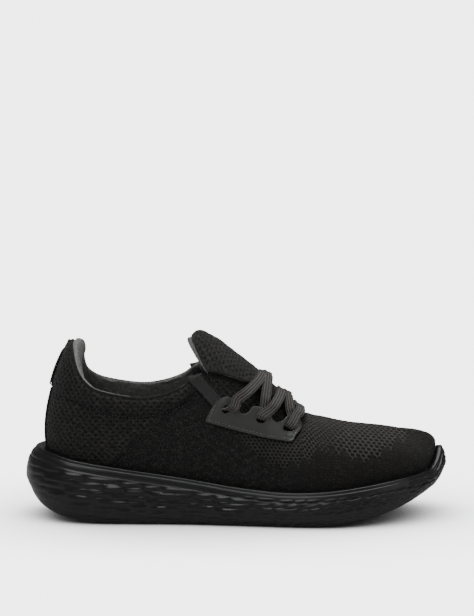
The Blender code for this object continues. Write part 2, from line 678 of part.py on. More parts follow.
def build_eyestays():
    for name, side in (("eyestay_lateral", -1), ("eyestay_medial", 1)):
        a, b = np.linspace(0, 1, 15), np.linspace(0, 1, 5)
        inner = np.array([[stay_point(i, j, side) for j in b] for i in a])
        outer = np.array([[stay_point(i, j, side, STAY_THICK) for j in b] for i in a])
        stay = make_object(name, "eyestay", *grid_slab(outer, inner))
        for k, (share, up) in enumerate(LACE_HOLES):
            cut(stay, stay_cutter(f"{name}_hole_{k}", share, up, side, HOLE_RADIUS[k]))
        for k, (share, up) in enumerate(SCALLOPS):
            cut(stay, stay_cutter(f"{name}_scallop_{k}", share, up, side, 4.2))


STRAP = [(121.2, 101.6), (137.0, 85.0)]
STRAP_WIDTH = 8.4


def build_straps():
    """Webbing straps that run from the collar's front corners down behind the eyestays."""
    head, foot = np.array(STRAP[0]), np.array(STRAP[1])
    along_it = (foot - head) / np.linalg.norm(foot - head)
    sideways = np.array([along_it[1], -along_it[0]])
    for name, side in (("collar_strap_lateral", -1), ("collar_strap_medial", 1)):
        grids = []
        for out in (0.5, 1.5):
            rows = []
            for s in np.linspace(0, 0.80, 5):
                middle = head + (foot - head) * s
                rows.append([on_side(*(middle + sideways * w), side, out)
                             for w in np.linspace(-STRAP_WIDTH / 2, STRAP_WIDTH / 2, 4)])
            grids.append(np.array(rows))
        make_object(name, "webbing", *grid_slab(grids[1], grids[0]))


TAPE_HALF = 7.0


def heel_strip(z0, z1, out, rows):
    """Grid up the back of the heel from height z0 to z1, standing out from the knit."""
    t = np.linspace(0, 1, 201)
    column = wall(np.ones_like(t), t)
    steps = np.interp(np.linspace(z0, z1, rows), column[:, 2], t)
    grid = []
    for y in np.linspace(-TAPE_HALF, TAPE_HALF, 5):
        strip = wall(np.ones_like(steps), steps) + out * wall_normal(np.full_like(steps, 0.9999), steps)
        sag = 0.016 * y * y
        strip = strip + np.array([sag, y, 0.0])
        grid.append(strip)
    return np.array(grid)


def build_heel_tape(swing):
    tape = grid_slab(heel_strip(52, 90.5, 1.3, 7), heel_strip(52, 90.5, 0.4, 7))
    make_object("heel_tape", "webbing", *tape)
    inner, outer = heel_strip(93.2, 117.5, 0.6, 6), heel_strip(93.2, 117.5, 2.4, 6)
    make_object("pull_tab", "webbing", *grid_slab(outer, inner), swing)


# ---------------------------------------------------------------- lace

LACE_WIDTH = 5.0
LACE_THICK = 1.5
LACE_LIFT = LACE_THICK / 2 + 0.35                   # centre of the lace above what it rests on
LACE_SWEEP = 0.28          # share of a strand's forward sweep still left at the tongue's edge
STAY_LENGTH = 63.0
TURN_RADIUS = STAY_THICK / 2 + LACE_LIFT + 0.15     # where the lace doubles back through a hole

# The lace in order: (hole, side, strand leaves over the eyestay, next hole, next side, crest x, lift there)
STRANDS = [
    (0, -1, True, 1, 1, 167.5, 0.0),
    (1, 1, True, 2, -1, 182.6, 2.0),
    (2, -1, True, 2, 1, 191.0, 4.8),
    (2, 1, False, 1, -1, 180.2, 0.0),
    (1, -1, False, 0, 1, 169.5, 2.0),
]


def lace_turn(hole, side, up_first):
    """Stations where the lace doubles back through a hole: from under the eyestay to over it, or back."""
    centre, normal, head = stay_frame(*LACE_HOLES[hole], side)
    pivot = centre + head * 2.1
    stations = []
    for degrees in (-90, -30, 30, 90):
        a = math.radians(degrees)
        away = normal * math.sin(a) - head * math.cos(a)
        stations.append((pivot + away * TURN_RADIUS, away * (1 if up_first else 1)))
    return stations if up_first else stations[::-1]


def lace_edge(hole, side, over, lean):
    """Station where the lace crosses the eyestay's head edge, over it or under it, and then leaves it."""
    share, up = LACE_HOLES[hole]
    centre, normal, head = stay_frame(share + lean * 0.3, 1.0, side)
    sign = 1 if over else -1
    stand = TURN_RADIUS + 0.5
    return [(centre + head * (1.0 if over else 2.0) + normal * sign * stand, normal * sign)]


def tongue_station(x, v, lift):
    normal = tongue_normal(x, v)
    return (tongue_face(x, v) + normal * (LACE_LIFT + lift), normal)


def throat_station(side, share):
    """Station of the front strand where it rests on the upper beside the throat."""
    g = -side * ring_at(190.5)
    normal = wall_normal(g, share)
    return (wall(g, share) + normal * (LACE_LIFT + 1.6), normal)


def lace_stations():
    """Every station of the lace: (centre, normal of its flat side)."""
    stations = lace_tail(0, -1, False)
    for hole, side, over, next_hole, next_side, crest, lift in STRANDS:
        stations += lace_turn(hole, side, over)
        start = stay_frame(*LACE_HOLES[hole], side)[0][0]
        finish = stay_frame(*LACE_HOLES[next_hole], next_side)[0][0]
        stations += lace_edge(hole, side, over, (crest - start) / STAY_LENGTH)
        if hole == next_hole:
            stations.append(throat_station(side, 0.95))
            stations.append((tongue_face(crest, 0.0) + np.array([0, 0, lift]), np.array([0.3, 0, 1.0])))
            stations.append(throat_station(next_side, 0.95))
            stations += lace_edge(next_hole, next_side, over, 0.12)
            continue
        for share in (1.0, 0.5, 0.0, -0.5, -1.0):
            near = start if share > 0 else finish
            x = crest + (near - crest) * LACE_SWEEP * share ** 2
            rise = lift * min(1.0, 2.0 - 1.9 * abs(share))
            stations.append(tongue_station(x, share * side, rise))
        stations += lace_edge(next_hole, next_side, not over, (crest - finish) / STAY_LENGTH)
    stations += lace_turn(0, 1, False)
    return stations + lace_tail(0, 1, True)


def lace_tail(hole, side, last):
    """End of the lace, tucked up behind the head of the eyestay."""
    share, up = LACE_HOLES[hole]
    stations = []
    for lift in (0.24, 0.13):
        centre, normal, head = stay_frame(share - 0.02, up + lift, side)
        stations.append((centre - normal * TURN_RADIUS, -normal))
    return stations[::-1] if last else stations


def build_lace():
    stations = lace_stations()
    centres = np.array([s[0] for s in stations])
    normals = np.array([s[1] for s in stations], float)
    for i in range(1, len(normals)):
        normals[i] *= 1 if normals[i] @ normals[i - 1] > 0 else -1
    knots = np.concatenate([[0], np.cumsum(np.linalg.norm(np.diff(centres, axis=0), axis=1) ** 0.5)])
    t = np.interp(np.linspace(0, len(knots) - 1, 2 * len(knots) - 1), np.arange(len(knots)), knots)
    path = np.stack([hermite(knots, centres[:, k], t) for k in range(3)], axis=1)
    flat = np.stack([np.interp(t, knots, normals[:, k]) for k in range(3)], axis=1)
    tangent = np.gradient(path, axis=0)
    tangent /= np.linalg.norm(tangent, axis=1, keepdims=True)
    across = np.cross(tangent, flat)
    across /= np.linalg.norm(across, axis=1, keepdims=True)
    flat = np.cross(across, tangent)
    w, h = LACE_WIDTH / 2, LACE_THICK / 2
    section = [(-w, 0), (-w * 0.8, h), (w * 0.8, h), (w, 0), (w * 0.8, -h), (-w * 0.8, -h)]
    rings = [path + across * u + flat * v for u, v in section]
    points = np.stack(rings, axis=1).reshape(-1, 3)
    size, count = len(section), len(path)
    faces = [list(range(size))[::-1], [(count - 1) * size + k for k in range(size)]]
    for i in range(count - 1):
        for k in range(size):
            j = (k + 1) % size
            faces.append([i * size + k, i * size + j, (i + 1) * size + j, (i + 1) * size + k])
    make_object("lace", "lace", points, faces)


def main():
    for obj in list(bpy.data.objects):
        bpy.data.objects.remove(obj)
    flex = make_empty("toe_flex_axis", *TOE_FLEX)
    fold = make_empty("tongue_fold_axis", *TONGUE_FOLD)
    swing = make_empty("tab_swing_axis", *TAB_SWING)
    build_sole(flex)
    build_insoles(flex)
    build_upper(flex)
    build_tongue(fold)
    build_gussets()
    build_eyestays()
    build_straps()
    build_heel_tape(swing)
    build_lace()


main()
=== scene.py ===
"""Looks of the right-foot knit running shoe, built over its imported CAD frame.

Lengths are millimetres: x runs from 0 at the back of the sole to 300 at the toe, y is negative on the outer
side, and z is up from the ground. put() turns them into the frame's metres.
"""

import math

import bmesh
import bpy
import numpy as np
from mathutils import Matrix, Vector
from mathutils.geometry import delaunay_2d_cdt


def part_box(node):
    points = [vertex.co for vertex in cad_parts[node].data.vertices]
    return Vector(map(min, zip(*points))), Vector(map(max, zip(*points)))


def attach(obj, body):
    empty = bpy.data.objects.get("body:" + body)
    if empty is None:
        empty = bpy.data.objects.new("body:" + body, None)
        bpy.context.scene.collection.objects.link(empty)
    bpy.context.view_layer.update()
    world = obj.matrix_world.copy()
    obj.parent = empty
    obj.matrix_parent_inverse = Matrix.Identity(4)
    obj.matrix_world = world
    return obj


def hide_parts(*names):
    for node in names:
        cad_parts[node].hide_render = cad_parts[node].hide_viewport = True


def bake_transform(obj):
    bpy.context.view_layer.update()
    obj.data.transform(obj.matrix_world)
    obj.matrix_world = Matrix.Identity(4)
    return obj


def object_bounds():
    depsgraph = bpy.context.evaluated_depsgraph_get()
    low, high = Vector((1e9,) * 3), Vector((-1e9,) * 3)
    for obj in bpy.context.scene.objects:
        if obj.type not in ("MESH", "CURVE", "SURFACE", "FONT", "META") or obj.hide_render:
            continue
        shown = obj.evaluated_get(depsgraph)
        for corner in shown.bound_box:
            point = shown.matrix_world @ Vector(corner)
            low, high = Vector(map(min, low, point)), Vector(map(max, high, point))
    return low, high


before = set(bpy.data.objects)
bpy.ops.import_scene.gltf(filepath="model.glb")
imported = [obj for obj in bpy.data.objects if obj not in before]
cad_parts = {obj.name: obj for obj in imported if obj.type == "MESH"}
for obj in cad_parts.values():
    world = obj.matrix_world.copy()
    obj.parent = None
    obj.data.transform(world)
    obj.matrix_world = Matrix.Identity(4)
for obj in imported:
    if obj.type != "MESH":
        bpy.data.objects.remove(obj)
CAD_BOX = [[float(v) for v in corner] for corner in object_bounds()]
MM = 0.001
BACK = CAD_BOX[0][0] / MM
STEP = 0.5          # spacing of the knit's geometry

# Stations from the toe to the heel: x, lateral y, medial y of the sole's widest line; then the upper's
# top edge over that station: x, middle y, half width, z, lean of the wall there, and its pull.
STATIONS = np.array([
    (300, 8.0, 8.0, 262, 5.0, 0.0, 61.4, 0, 0.36),
    (294, -12.0, 25.0, 258, 5.0, 0.0, 61.7, 0, 0.40),
    (275, -33.5, 39.5, 246, 4.0, 0.0, 62.8, 0, 0.48),
    (245, -48.5, 49.5, 227, 3.0, 0.0, 64.7, 0, 0.50),
    (212, -54.0, 54.0, 207, 1.5, 0.0, 69.4, 0, 0.48),
    (200, -53.6, 52.0, 199, 0.5, 0.0, 71.8, 4, 0.46),
    (197.5, -53.4, 51.4, 197, 0.3, 5.0, 72.0, 10, 0.45),
    (193, -53.0, 50.0, 192, 0.0, 8.4, 73.2, 22, 0.44),
    (184, -52.0, 47.5, 184, 0.0, 13.5, 78.5, 38, 0.43),
    (170, -50.2, 43.5, 170, 0.0, 18.5, 89.0, 48, 0.42),
    (150, -47.4, 39.0, 150, 0.0, 23.0, 98.0, 58, 0.40),
    (132, -45.0, 36.6, 133, 0.0, 26.5, 103.5, 66, 0.37),
    (124, -44.2, 36.2, 124, 0.0, 28.5, 104.5, 74, 0.35),
    (112, -43.2, 36.2, 112, 0.0, 31.0, 96.5, 82, 0.33),
    (90, -42.3, 37.5, 90, 0.0, 33.0, 89.4, 88, 0.32),
    (66, -42.0, 40.0, 68, 0.0, 33.0, 90.4, 88, 0.31),
    (45, -41.0, 41.0, 49, 0.0, 31.0, 95.5, 88, 0.30),
    (28, -37.5, 38.0, 40, 0.0, 26.5, 104.0, 84, 0.30),
    (14, -29.0, 29.5, 35, 0.0, 20.5, 115.5, 78, 0.30),
    (4, -16.0, 16.2, 33, 0.0, 11.0, 123.5, 68, 0.30),
    (0, 0.0, 0.0, 32.5, 0.0, 0.0, 125.5, 62, 0.30),
], float)
# Against x: heights of the underside and of the sidewall's widest line, height of the sole's top edge and its
# distance in from the widest line, and height of the footbed.
SOLE_BOTTOM = [(0, 24), (7, 14.5), (20, 6.5), (37, 2.2), (57, 0.3), (68, 0), (80, 0), (185, 0), (197, 0),
               (208, 0.25), (219, 0.9), (240, 3.8), (262, 10), (283, 18.5), (294, 24.2), (300, 30)]
BULGE = [(0, 29), (20, 22), (60, 16), (120, 13), (200, 12), (240, 15), (270, 21), (290, 30), (300, 37)]
RIM = [(0, 50), (12, 49), (33, 45.5), (67, 40.2), (111, 33.8), (154, 27.4), (182, 25.0),
       (212, 25.8), (240, 28.7), (265, 31.8), (285, 34.0), (293, 36.0), (297, 41.0), (300, 48)]
RIM_INSET = [(0, 11), (20, 9), (50, 6.5), (100, 5), (200, 4.5), (285, 4.5), (300, 3.6)]
FOOTBED = [(10, 28.5), (60, 27.5), (100, 24.5), (150, 19.5), (190, 16.8), (212, 16.5), (240, 18.5),
           (262, 23.0), (283, 30), (292, 34)]
# The tongue: x, height of its crest, half width, and height of its edge.
TONGUE = [(116, 127.0, 29.5, 105.8), (122, 131.6, 30.3, 107.2), (132, 128.6, 29.8, 107.4),
          (150, 115.5, 26.2, 102.4), (165, 103.5, 21.8, 96.2), (175, 94.0, 17.0, 88.6),
          (184, 84.5, 11.2, 79.8), (189, 75.4, 7.6, 72.4), (195, 70.0, 6.6, 68.6), (203, 68.2, 6.0, 67.4)]
# The heel seam's two ends on the side, as x and z.
SEAM = ((66.0, 44.5), (112.0, 84.5))
# x where the knit of the quarters gives way to the forefoot's knit.
FLEX_X = 197.0

# Knit: size of a bead of yarn, pitches of the fine and large mesh and of the forefoot's ribs, and the
# dimples' pitch, row height, width and height.
BEAD = 1.9
FINE_MESH = 3.0
LARGE_MESH = 4.0
RIB_PITCH = 1.9
HEEL_DIMPLES = (4.9, 2.6, 1.05, 0.60)
TONGUE_DIMPLES = (5.0, 2.7, 1.15, 0.66)

# Stitches: pitch, length and radius.
STAY_STITCH = (2.5, 1.65, 0.42)
PAD_STITCH = (2.4, 1.7, 0.30)
SEAM_STITCH = (2.6, 2.1, 0.26)

# Share of a quarter turn that the upper sidewall curves through.
SIDEWALL_TURN = 0.80
# Height of the webbing's ribs.
RIB_WAVE = 0.07

# The photo's view: metres to the target, degrees above level, metres of height seen there, and the target.
VIEW_DISTANCE = 1.8
VIEW_ELEVATION = 8.0
VIEW_HEIGHT = 0.4362
VIEW_TARGET = (0.0005, 0, 0.1481)


# ---------------------------------------------------------------- curves and the upper's outer face

def hermite(knots, values, t):
    slopes = np.gradient(values, knots)
    i = np.clip(np.searchsorted(knots, t, side="right") - 1, 0, len(knots) - 2)
    width = knots[i + 1] - knots[i]
    s = (t - knots[i]) / width
    return ((1 + 2 * s) * (1 - s) ** 2 * values[i] + s * (1 - s) ** 2 * width * slopes[i]
            + s * s * (3 - 2 * s) * values[i + 1] + s * s * (s - 1) * width * slopes[i + 1])


def along(table, x):
    knots, values = np.array(table, float).T
    return hermite(knots, values, np.clip(x, knots[0], knots[-1]))


def smooth(low, high, x):
    s = np.clip((x - low) / (high - low), 0, 1)
    return s * s * (3 - 2 * s)


_half = (STATIONS[:, 2] - STATIONS[:, 1]) / 2
_steps = np.hypot(np.diff(STATIONS[:, 0]), np.diff(_half))
KNOTS = np.concatenate([[0], np.cumsum(_steps)]) / _steps.sum()


def station(column, g):
    """A station column at ring position g: 0 toe, 0 to 1 lateral, 1 heel, -1 to 0 medial."""
    lateral, medial = STATIONS[:, column], STATIONS[:, 2 if column == 1 else column]
    knots = np.concatenate([[KNOTS[-2] - 2], -KNOTS[:0:-1], KNOTS, [2 - KNOTS[-2]]])
    values = np.concatenate([[lateral[-2]], medial[:0:-1], lateral, [medial[-2]]])
    return hermite(knots, values, g)


def outline(g):
    return np.stack([station(0, g), station(1, g)], axis=-1)


def inward(g):
    tangent = outline(np.clip(g + 1e-4, -1, 1)) - outline(np.clip(g - 1e-4, -1, 1))
    tangent /= np.linalg.norm(tangent, axis=-1, keepdims=True)
    return np.stack([tangent[..., 1], -tangent[..., 0]], axis=-1)


_g = np.linspace(0, 1, 4001)
_x = -station(0, _g)


def ring_at(x):
    return np.interp(-np.asarray(x, float), _x, _g)


def cup_inset(x):
    return along(RIM_INSET, x) + 3.5


def wall(g, t):
    """Point of the upper's outer face: t is -1 at the footbed, 0 at the rim, 1 at the top edge."""
    g, t = np.broadcast_arrays(np.asarray(g, float), np.asarray(t, float))
    plan, n2, a = outline(g), inward(g), np.abs(g)
    n = np.concatenate([n2, np.zeros(g.shape + (1,))], axis=-1)
    rim = np.concatenate([plan + n2 * (cup_inset(plan[..., 0]) + 0.4)[..., None],
                          along(RIM, plan[..., 0])[..., None]], axis=-1)
    half = np.maximum(station(5, a), 0) * np.where(g >= 0, -1.0, 1.0)
    top = np.stack([station(3, a), station(4, a) + half, station(6, a)], axis=-1)
    up = np.array([0.0, 0.0, 1.0])
    lean = np.radians(station(7, a))[..., None]
    pull = (station(8, a) * np.linalg.norm(top - rim, axis=-1))[..., None]
    slope = along([(197, 0.14), (207, 0.2), (227, 0.17), (246, 0.13), (262, 0.1)], top[..., 0])[..., None]
    rise = slope * np.cos(lean) * -n[..., :1] * smooth(190, 204, top[..., :1])
    first = rim + pull * (up * math.cos(math.radians(10)) - n * math.sin(math.radians(10)))
    last = top - pull * (n * np.cos(lean) + up * (np.sin(lean) + rise))
    s = np.clip(t, 0, 1)[..., None]
    curve = (1 - s) ** 3 * rim + 3 * s * (1 - s) ** 2 * first + 3 * s * s * (1 - s) * last + s ** 3 * top
    curve[..., 2] -= np.clip(-t, 0, 1) * (rim[..., 2] - along(FOOTBED, plan[..., 0]) - 0.4)
    return curve


def wall_normal(g, t):
    e = 2e-3
    g, t = np.broadcast_arrays(np.asarray(g, float), np.asarray(t, float))
    t = np.minimum(t, 0.995)
    across = wall(np.clip(g + e, -1, 1), t) - wall(np.clip(g - e, -1, 1), t)
    upward = wall(g, np.clip(t + e, -1, 1)) - wall(g, np.clip(t - e, -1, 1))
    normal = np.cross(upward, across)
    return normal / (np.linalg.norm(normal, axis=-1, keepdims=True) + 1e-12)


def side_ring(x, z, side):
    """(g, t) of the upper's point at x and z. side is -1 lateral, 1 medial."""
    t = np.linspace(-1, 1, 161)
    g = float(ring_at(x))
    for _ in range(6):
        column = wall(np.full_like(t, -side * g), t)
        height = float(np.interp(z, column[:, 2], t))
        g += (wall(-side * g, height)[0] - x) / 330.0
    return -side * g, height


def on_side(x, z, side, out):
    g, t = side_ring(x, z, side)
    return wall(g, t) + out * wall_normal(g, t)


# ---------------------------------------------------------------- mesh helpers

def put(points):
    """Millimetre points in the frame's metres."""
    return (np.asarray(points, float) + np.array([BACK, 0, 0])) * MM


def new_piece(name, points, faces, material, uv=None, marks=None, weld=1e-5):
    """Mesh object from millimetre points. uv is one pair per point in millimetres; marks are extra fields."""
    mesh = bpy.data.meshes.new(name)
    points = put(points)
    groups = [np.asarray(f) for f in (faces if isinstance(faces, list) else [faces])]
    whole = []
    for f in groups:
        same = np.zeros(len(f), bool)
        for k in range(f.shape[1]):
            same |= f[:, k] == f[:, k - 1]
        whole.append(f[~same])
        for row in f[same]:
            corners = list(dict.fromkeys(row.tolist()))
            if len(corners) == 3:
                whole.append(np.array([corners]))
    corners = np.concatenate([f.ravel() for f in whole])
    sizes = np.concatenate([np.full(len(f), f.shape[1]) for f in whole])
    starts = np.concatenate([[0], np.cumsum(sizes)[:-1]])
    mesh.vertices.add(len(points))
    mesh.vertices.foreach_set("co", points.astype(np.float32).ravel())
    mesh.loops.add(len(corners))
    mesh.loops.foreach_set("vertex_index", corners.astype(np.int32))
    mesh.polygons.add(len(sizes))
    mesh.polygons.foreach_set("loop_start", starts.astype(np.int32))
    mesh.update(calc_edges=True)
    if uv is not None:
        layer = mesh.uv_layers.new(name="UVMap")
        layer.data.foreach_set("uv", (np.asarray(uv, float)[corners] * 0.01).astype(np.float32).ravel())
    for key, value in (marks or {}).items():
        attribute = mesh.attributes.new(key, "FLOAT", "POINT")
        attribute.data.foreach_set("value", np.asarray(value, np.float32).ravel())
    mesh.validate()
    if weld:
        bm = bmesh.new()
        bm.from_mesh(mesh)
        bmesh.ops.remove_doubles(bm, verts=bm.verts, dist=weld)
        bmesh.ops.dissolve_degenerate(bm, edges=bm.edges, dist=1e-7)
        bm.to_mesh(mesh)
        bm.free()
    mesh.validate()
    mesh.shade_smooth()
    mesh.materials.append(material)
    obj = bpy.data.objects.new(name, mesh)
    bpy.context.scene.collection.objects.link(obj)
    return obj


def grid_faces(columns, rows, loop=False):
    i, j = np.meshgrid(np.arange(columns if loop else columns - 1), np.arange(rows - 1), indexing="ij")
    n = (i + 1) % columns
    return np.stack([i * rows + j, n * rows + j, n * rows + j + 1, i * rows + j + 1], -1).reshape(-1, 4)


def grid_normals(p, loop=False):
    if loop:
        across = np.roll(p, -1, 0) - np.roll(p, 1, 0)
    else:
        across = np.gradient(p, axis=0)
    up = np.gradient(p, axis=1)
    n = np.cross(across, up)
    return n / (np.linalg.norm(n, axis=-1, keepdims=True) + 1e-12)


def face_out(obj, away=(0.0, 0.0, 0.055)):
    """Turns the faces so that most of them point away from a spot inside the shoe."""
    mesh = obj.data
    count = len(mesh.polygons)
    normals, centres = np.zeros(count * 3), np.zeros(count * 3)
    mesh.polygons.foreach_get("normal", normals)
    mesh.polygons.foreach_get("center", centres)
    if (normals.reshape(-1, 3) * (centres.reshape(-1, 3) - np.array(away))).sum() < 0:
        mesh.flip_normals()
    return obj


def close_slab(outer, inner, loop=False):
    """Points and faces of a closed slab between two grids (columns, rows, 3)."""
    columns, rows = outer.shape[:2]
    count = columns * rows
    f = grid_faces(columns, rows, loop)
    faces = [f, f[:, ::-1] + count]
    i = np.arange(columns if loop else columns - 1)
    n = (i + 1) % columns
    for j in (0, rows - 1):
        a, b = i * rows + j, n * rows + j
        faces.append(np.stack([a, b, b + count, a + count] if j else [b, a, a + count, b + count], -1))
    if not loop:
        j = np.arange(rows - 1)
        for i0 in (0, (columns - 1) * rows):
            a, b = i0 + j, i0 + j + 1
            faces.append(np.stack([b, a, a + count, b + count] if i0 else [a, b, b + count, a + count], -1))
    return np.concatenate([outer.reshape(-1, 3), inner.reshape(-1, 3)]), np.concatenate(faces)


def arc_length(points):
    """Length along a line of points, from 0 at the first."""
    return np.concatenate([[0], np.cumsum(np.linalg.norm(np.diff(points, axis=0), axis=1))])


def grid_piece(name, grid, mat, uv, depth):
    """Open sheet from a grid of points, with uv and a depth mark for each point: a colour level that can
    carry painted shade.
    """
    faces = grid_faces(*grid.shape[:2])
    return new_piece(name, grid.reshape(-1, 3), faces, mat, uv.reshape(-1, 2), {"depth": depth.ravel()})


def tube_faces(rings, sides):
    """Faces between the rings of a tube."""
    i, j = np.meshgrid(np.arange(rings - 1), np.arange(sides), indexing="ij")
    k = (j + 1) % sides
    here, ahead = i * sides, (i + 1) * sides
    return np.stack([here + j, ahead + j, ahead + k, here + k], -1).reshape(-1, 4)


def turn_out(obj):
    """Turns every face of a closed piece outwards."""
    bm = bmesh.new()
    bm.from_mesh(obj.data)
    bmesh.ops.recalc_face_normals(bm, faces=bm.faces)
    bm.to_mesh(obj.data)
    bm.free()


def dress(obj, slot, body, *nodes):
    """Puts a piece on a body, in the place of CAD nodes if it stands for any. The colour slot is not used."""
    if nodes:
        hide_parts(*nodes)
    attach(obj, body)


def spline(points, count, power=0.5):
    """count points on a smooth curve through the given ones, evenly spaced."""
    points = np.asarray(points, float)
    gaps = np.linalg.norm(np.diff(points[:, :3], axis=0), axis=1) ** power
    knots = np.concatenate([[0], np.cumsum(gaps)])
    fine = np.linspace(0, knots[-1], 40 * len(points))
    path = np.stack([hermite(knots, points[:, k], fine) for k in range(points.shape[1])], 1)
    length = arc_length(path[:, :3])
    want = np.linspace(0, length[-1], count)
    return np.stack([np.interp(want, length, path[:, k]) for k in range(points.shape[1])], 1)


def fbm(x, y, scale, seed=0.0, octaves=3):
    """Cheap smooth noise from a few turned sine sheets, about -1 to 1."""
    total, weight = 0.0, 1.0
    for k in range(octaves):
        a = 1.3 * k + seed
        u = (x * math.cos(a) + y * math.sin(a)) / scale
        v = (-x * math.sin(a) + y * math.cos(a)) / scale
        sheet = np.sin(u * 6.1 + 2.1 * np.sin(v * 3.7 + seed) + a)
        total = total + weight * sheet * np.sin(v * 5.3 - 1.7 * np.sin(u * 2.9))
        weight, scale = weight * 0.55, scale * 0.47
    return total / 1.6


def pattern_noise(i, j):
    """Repeatable 0 to 1 value for a cell (i, j)."""
    v = np.sin(i * 12.9898 + j * 78.233) * 43758.5453
    return v - np.floor(v)


def resample(field, columns, rows):
    """A grid field stretched to another count of columns and rows."""
    i, j = np.linspace(0, field.shape[0] - 1, columns), np.linspace(0, field.shape[1] - 1, rows)
    i0, j0 = np.clip(i.astype(int), 0, field.shape[0] - 2), np.clip(j.astype(int), 0, field.shape[1] - 2)
    fi, fj = (i - i0)[:, None, None], (j - j0)[None, :, None]
    a = field[i0] * (1 - fi) + field[i0 + 1] * fi
    return a[:, j0] * (1 - fj) + a[:, j0 + 1] * fj


def border_pins(grid, width):
    pins = np.zeros(grid.shape[:2], bool)
    pins[:width] = pins[-width:] = True
    pins[:, :width] = pins[:, -width:] = True
    return pins


def settle(grid, pins, pressure, most, frames=22, size=(150, 44)):
    """The grid as cloth over padding: held at its pins and pressed outward from behind.

    The cloth is worked on a coarser copy, ten times life size. Its movement is carried back, up to most mm.
    """
    columns, rows = min(size[0], grid.shape[0]), min(size[1], grid.shape[1])
    coarse = resample(grid, columns, rows)
    held = resample(pins[..., None].astype(float), columns, rows)[..., 0] > 0.3
    mesh = bpy.data.meshes.new("padding")
    mesh.from_pydata((coarse.reshape(-1, 3) * 0.01).tolist(), [], grid_faces(columns, rows).tolist())
    obj = bpy.data.objects.new("padding", mesh)
    bpy.context.scene.collection.objects.link(obj)
    group = obj.vertex_groups.new(name="held")
    group.add([int(k) for k in np.flatnonzero(held.ravel())], 1.0, "REPLACE")
    cloth = obj.modifiers.new("cloth", "CLOTH")
    cloth.settings.quality = 6
    cloth.settings.mass = 0.25
    cloth.settings.tension_stiffness = 9
    cloth.settings.compression_stiffness = 9
    cloth.settings.shear_stiffness = 4
    cloth.settings.bending_stiffness = 0.35
    cloth.settings.air_damping = 6
    cloth.settings.vertex_group_mass = "held"
    cloth.settings.shrink_min = -0.03
    cloth.settings.use_pressure = True
    cloth.settings.uniform_pressure_force = pressure
    cloth.settings.effector_weights.gravity = 0.0
    cloth.collision_settings.use_collision = False
    cloth.point_cache.frame_start, cloth.point_cache.frame_end = 1, frames
    scene = bpy.context.scene
    for step in range(1, frames + 1):
        scene.frame_set(step)
    seen = obj.evaluated_get(bpy.context.evaluated_depsgraph_get())
    after = np.zeros(len(mesh.vertices) * 3)
    seen.data.vertices.foreach_get("co", after)
    moved = after.reshape(coarse.shape) * 100 - coarse
    bpy.data.objects.remove(obj)
    bpy.data.meshes.remove(mesh)
    scene.frame_set(1)
    moved = np.nan_to_num(moved)
    far = np.linalg.norm(moved, axis=-1, keepdims=True)
    moved = moved * np.tanh(far / most) * most / (far + 1e-9)
    moved[1:-1, 1:-1] = 0.5 * moved[1:-1, 1:-1] + 0.125 * (moved[:-2, 1:-1] + moved[2:, 1:-1]
                                                          + moved[1:-1, :-2] + moved[1:-1, 2:])
    return grid + resample(moved, *grid.shape[:2])


# ---------------------------------------------------------------- materials

def material(name):
    mat = bpy.data.materials.new(name)
    mat.use_nodes = True
    return mat, mat.node_tree.nodes, mat.node_tree.links, mat.node_tree.nodes["Principled BSDF"]


def add(nodes, kind, **values):
    node = nodes.new(kind)
    for key, value in values.items():
        if key in node.inputs:
            node.inputs[key].default_value = value
        else:
            setattr(node, key, value)
    return node


def ramp(nodes, links, source, stops):
    node = nodes.new("ShaderNodeValToRGB")
    while len(node.color_ramp.elements) < len(stops):
        node.color_ramp.elements.new(0.5)
    for element, (place, colour) in zip(node.color_ramp.elements, stops):
        element.position = place
        element.color = (*colour, 1) if len(colour) == 3 else colour
    links.new(source, node.inputs["Fac"])
    return node.outputs["Color"]


def noise_texture(nodes, links, **values):
    """Noise in the object's own space."""
    node = add(nodes, "ShaderNodeTexNoise", **values)
    links.new(nodes.new("ShaderNodeTexCoord").outputs["Object"], node.inputs["Vector"])
    return node


def bump_by(nodes, links, shader, height, strength, distance):
    node = add(nodes, "ShaderNodeBump", Strength=strength, Distance=distance)
    links.new(height, node.inputs["Height"])
    links.new(node.outputs["Normal"], shader.inputs["Normal"])


def mix_value(nodes, links, a, b, operation="MULTIPLY"):
    node = nodes.new("ShaderNodeMath")
    node.operation = operation
    for slot_index, value in ((0, a), (1, b)):
        if isinstance(value, (int, float)):
            node.inputs[slot_index].default_value = value
        else:
            links.new(value, node.inputs[slot_index])
    return node.outputs[0]


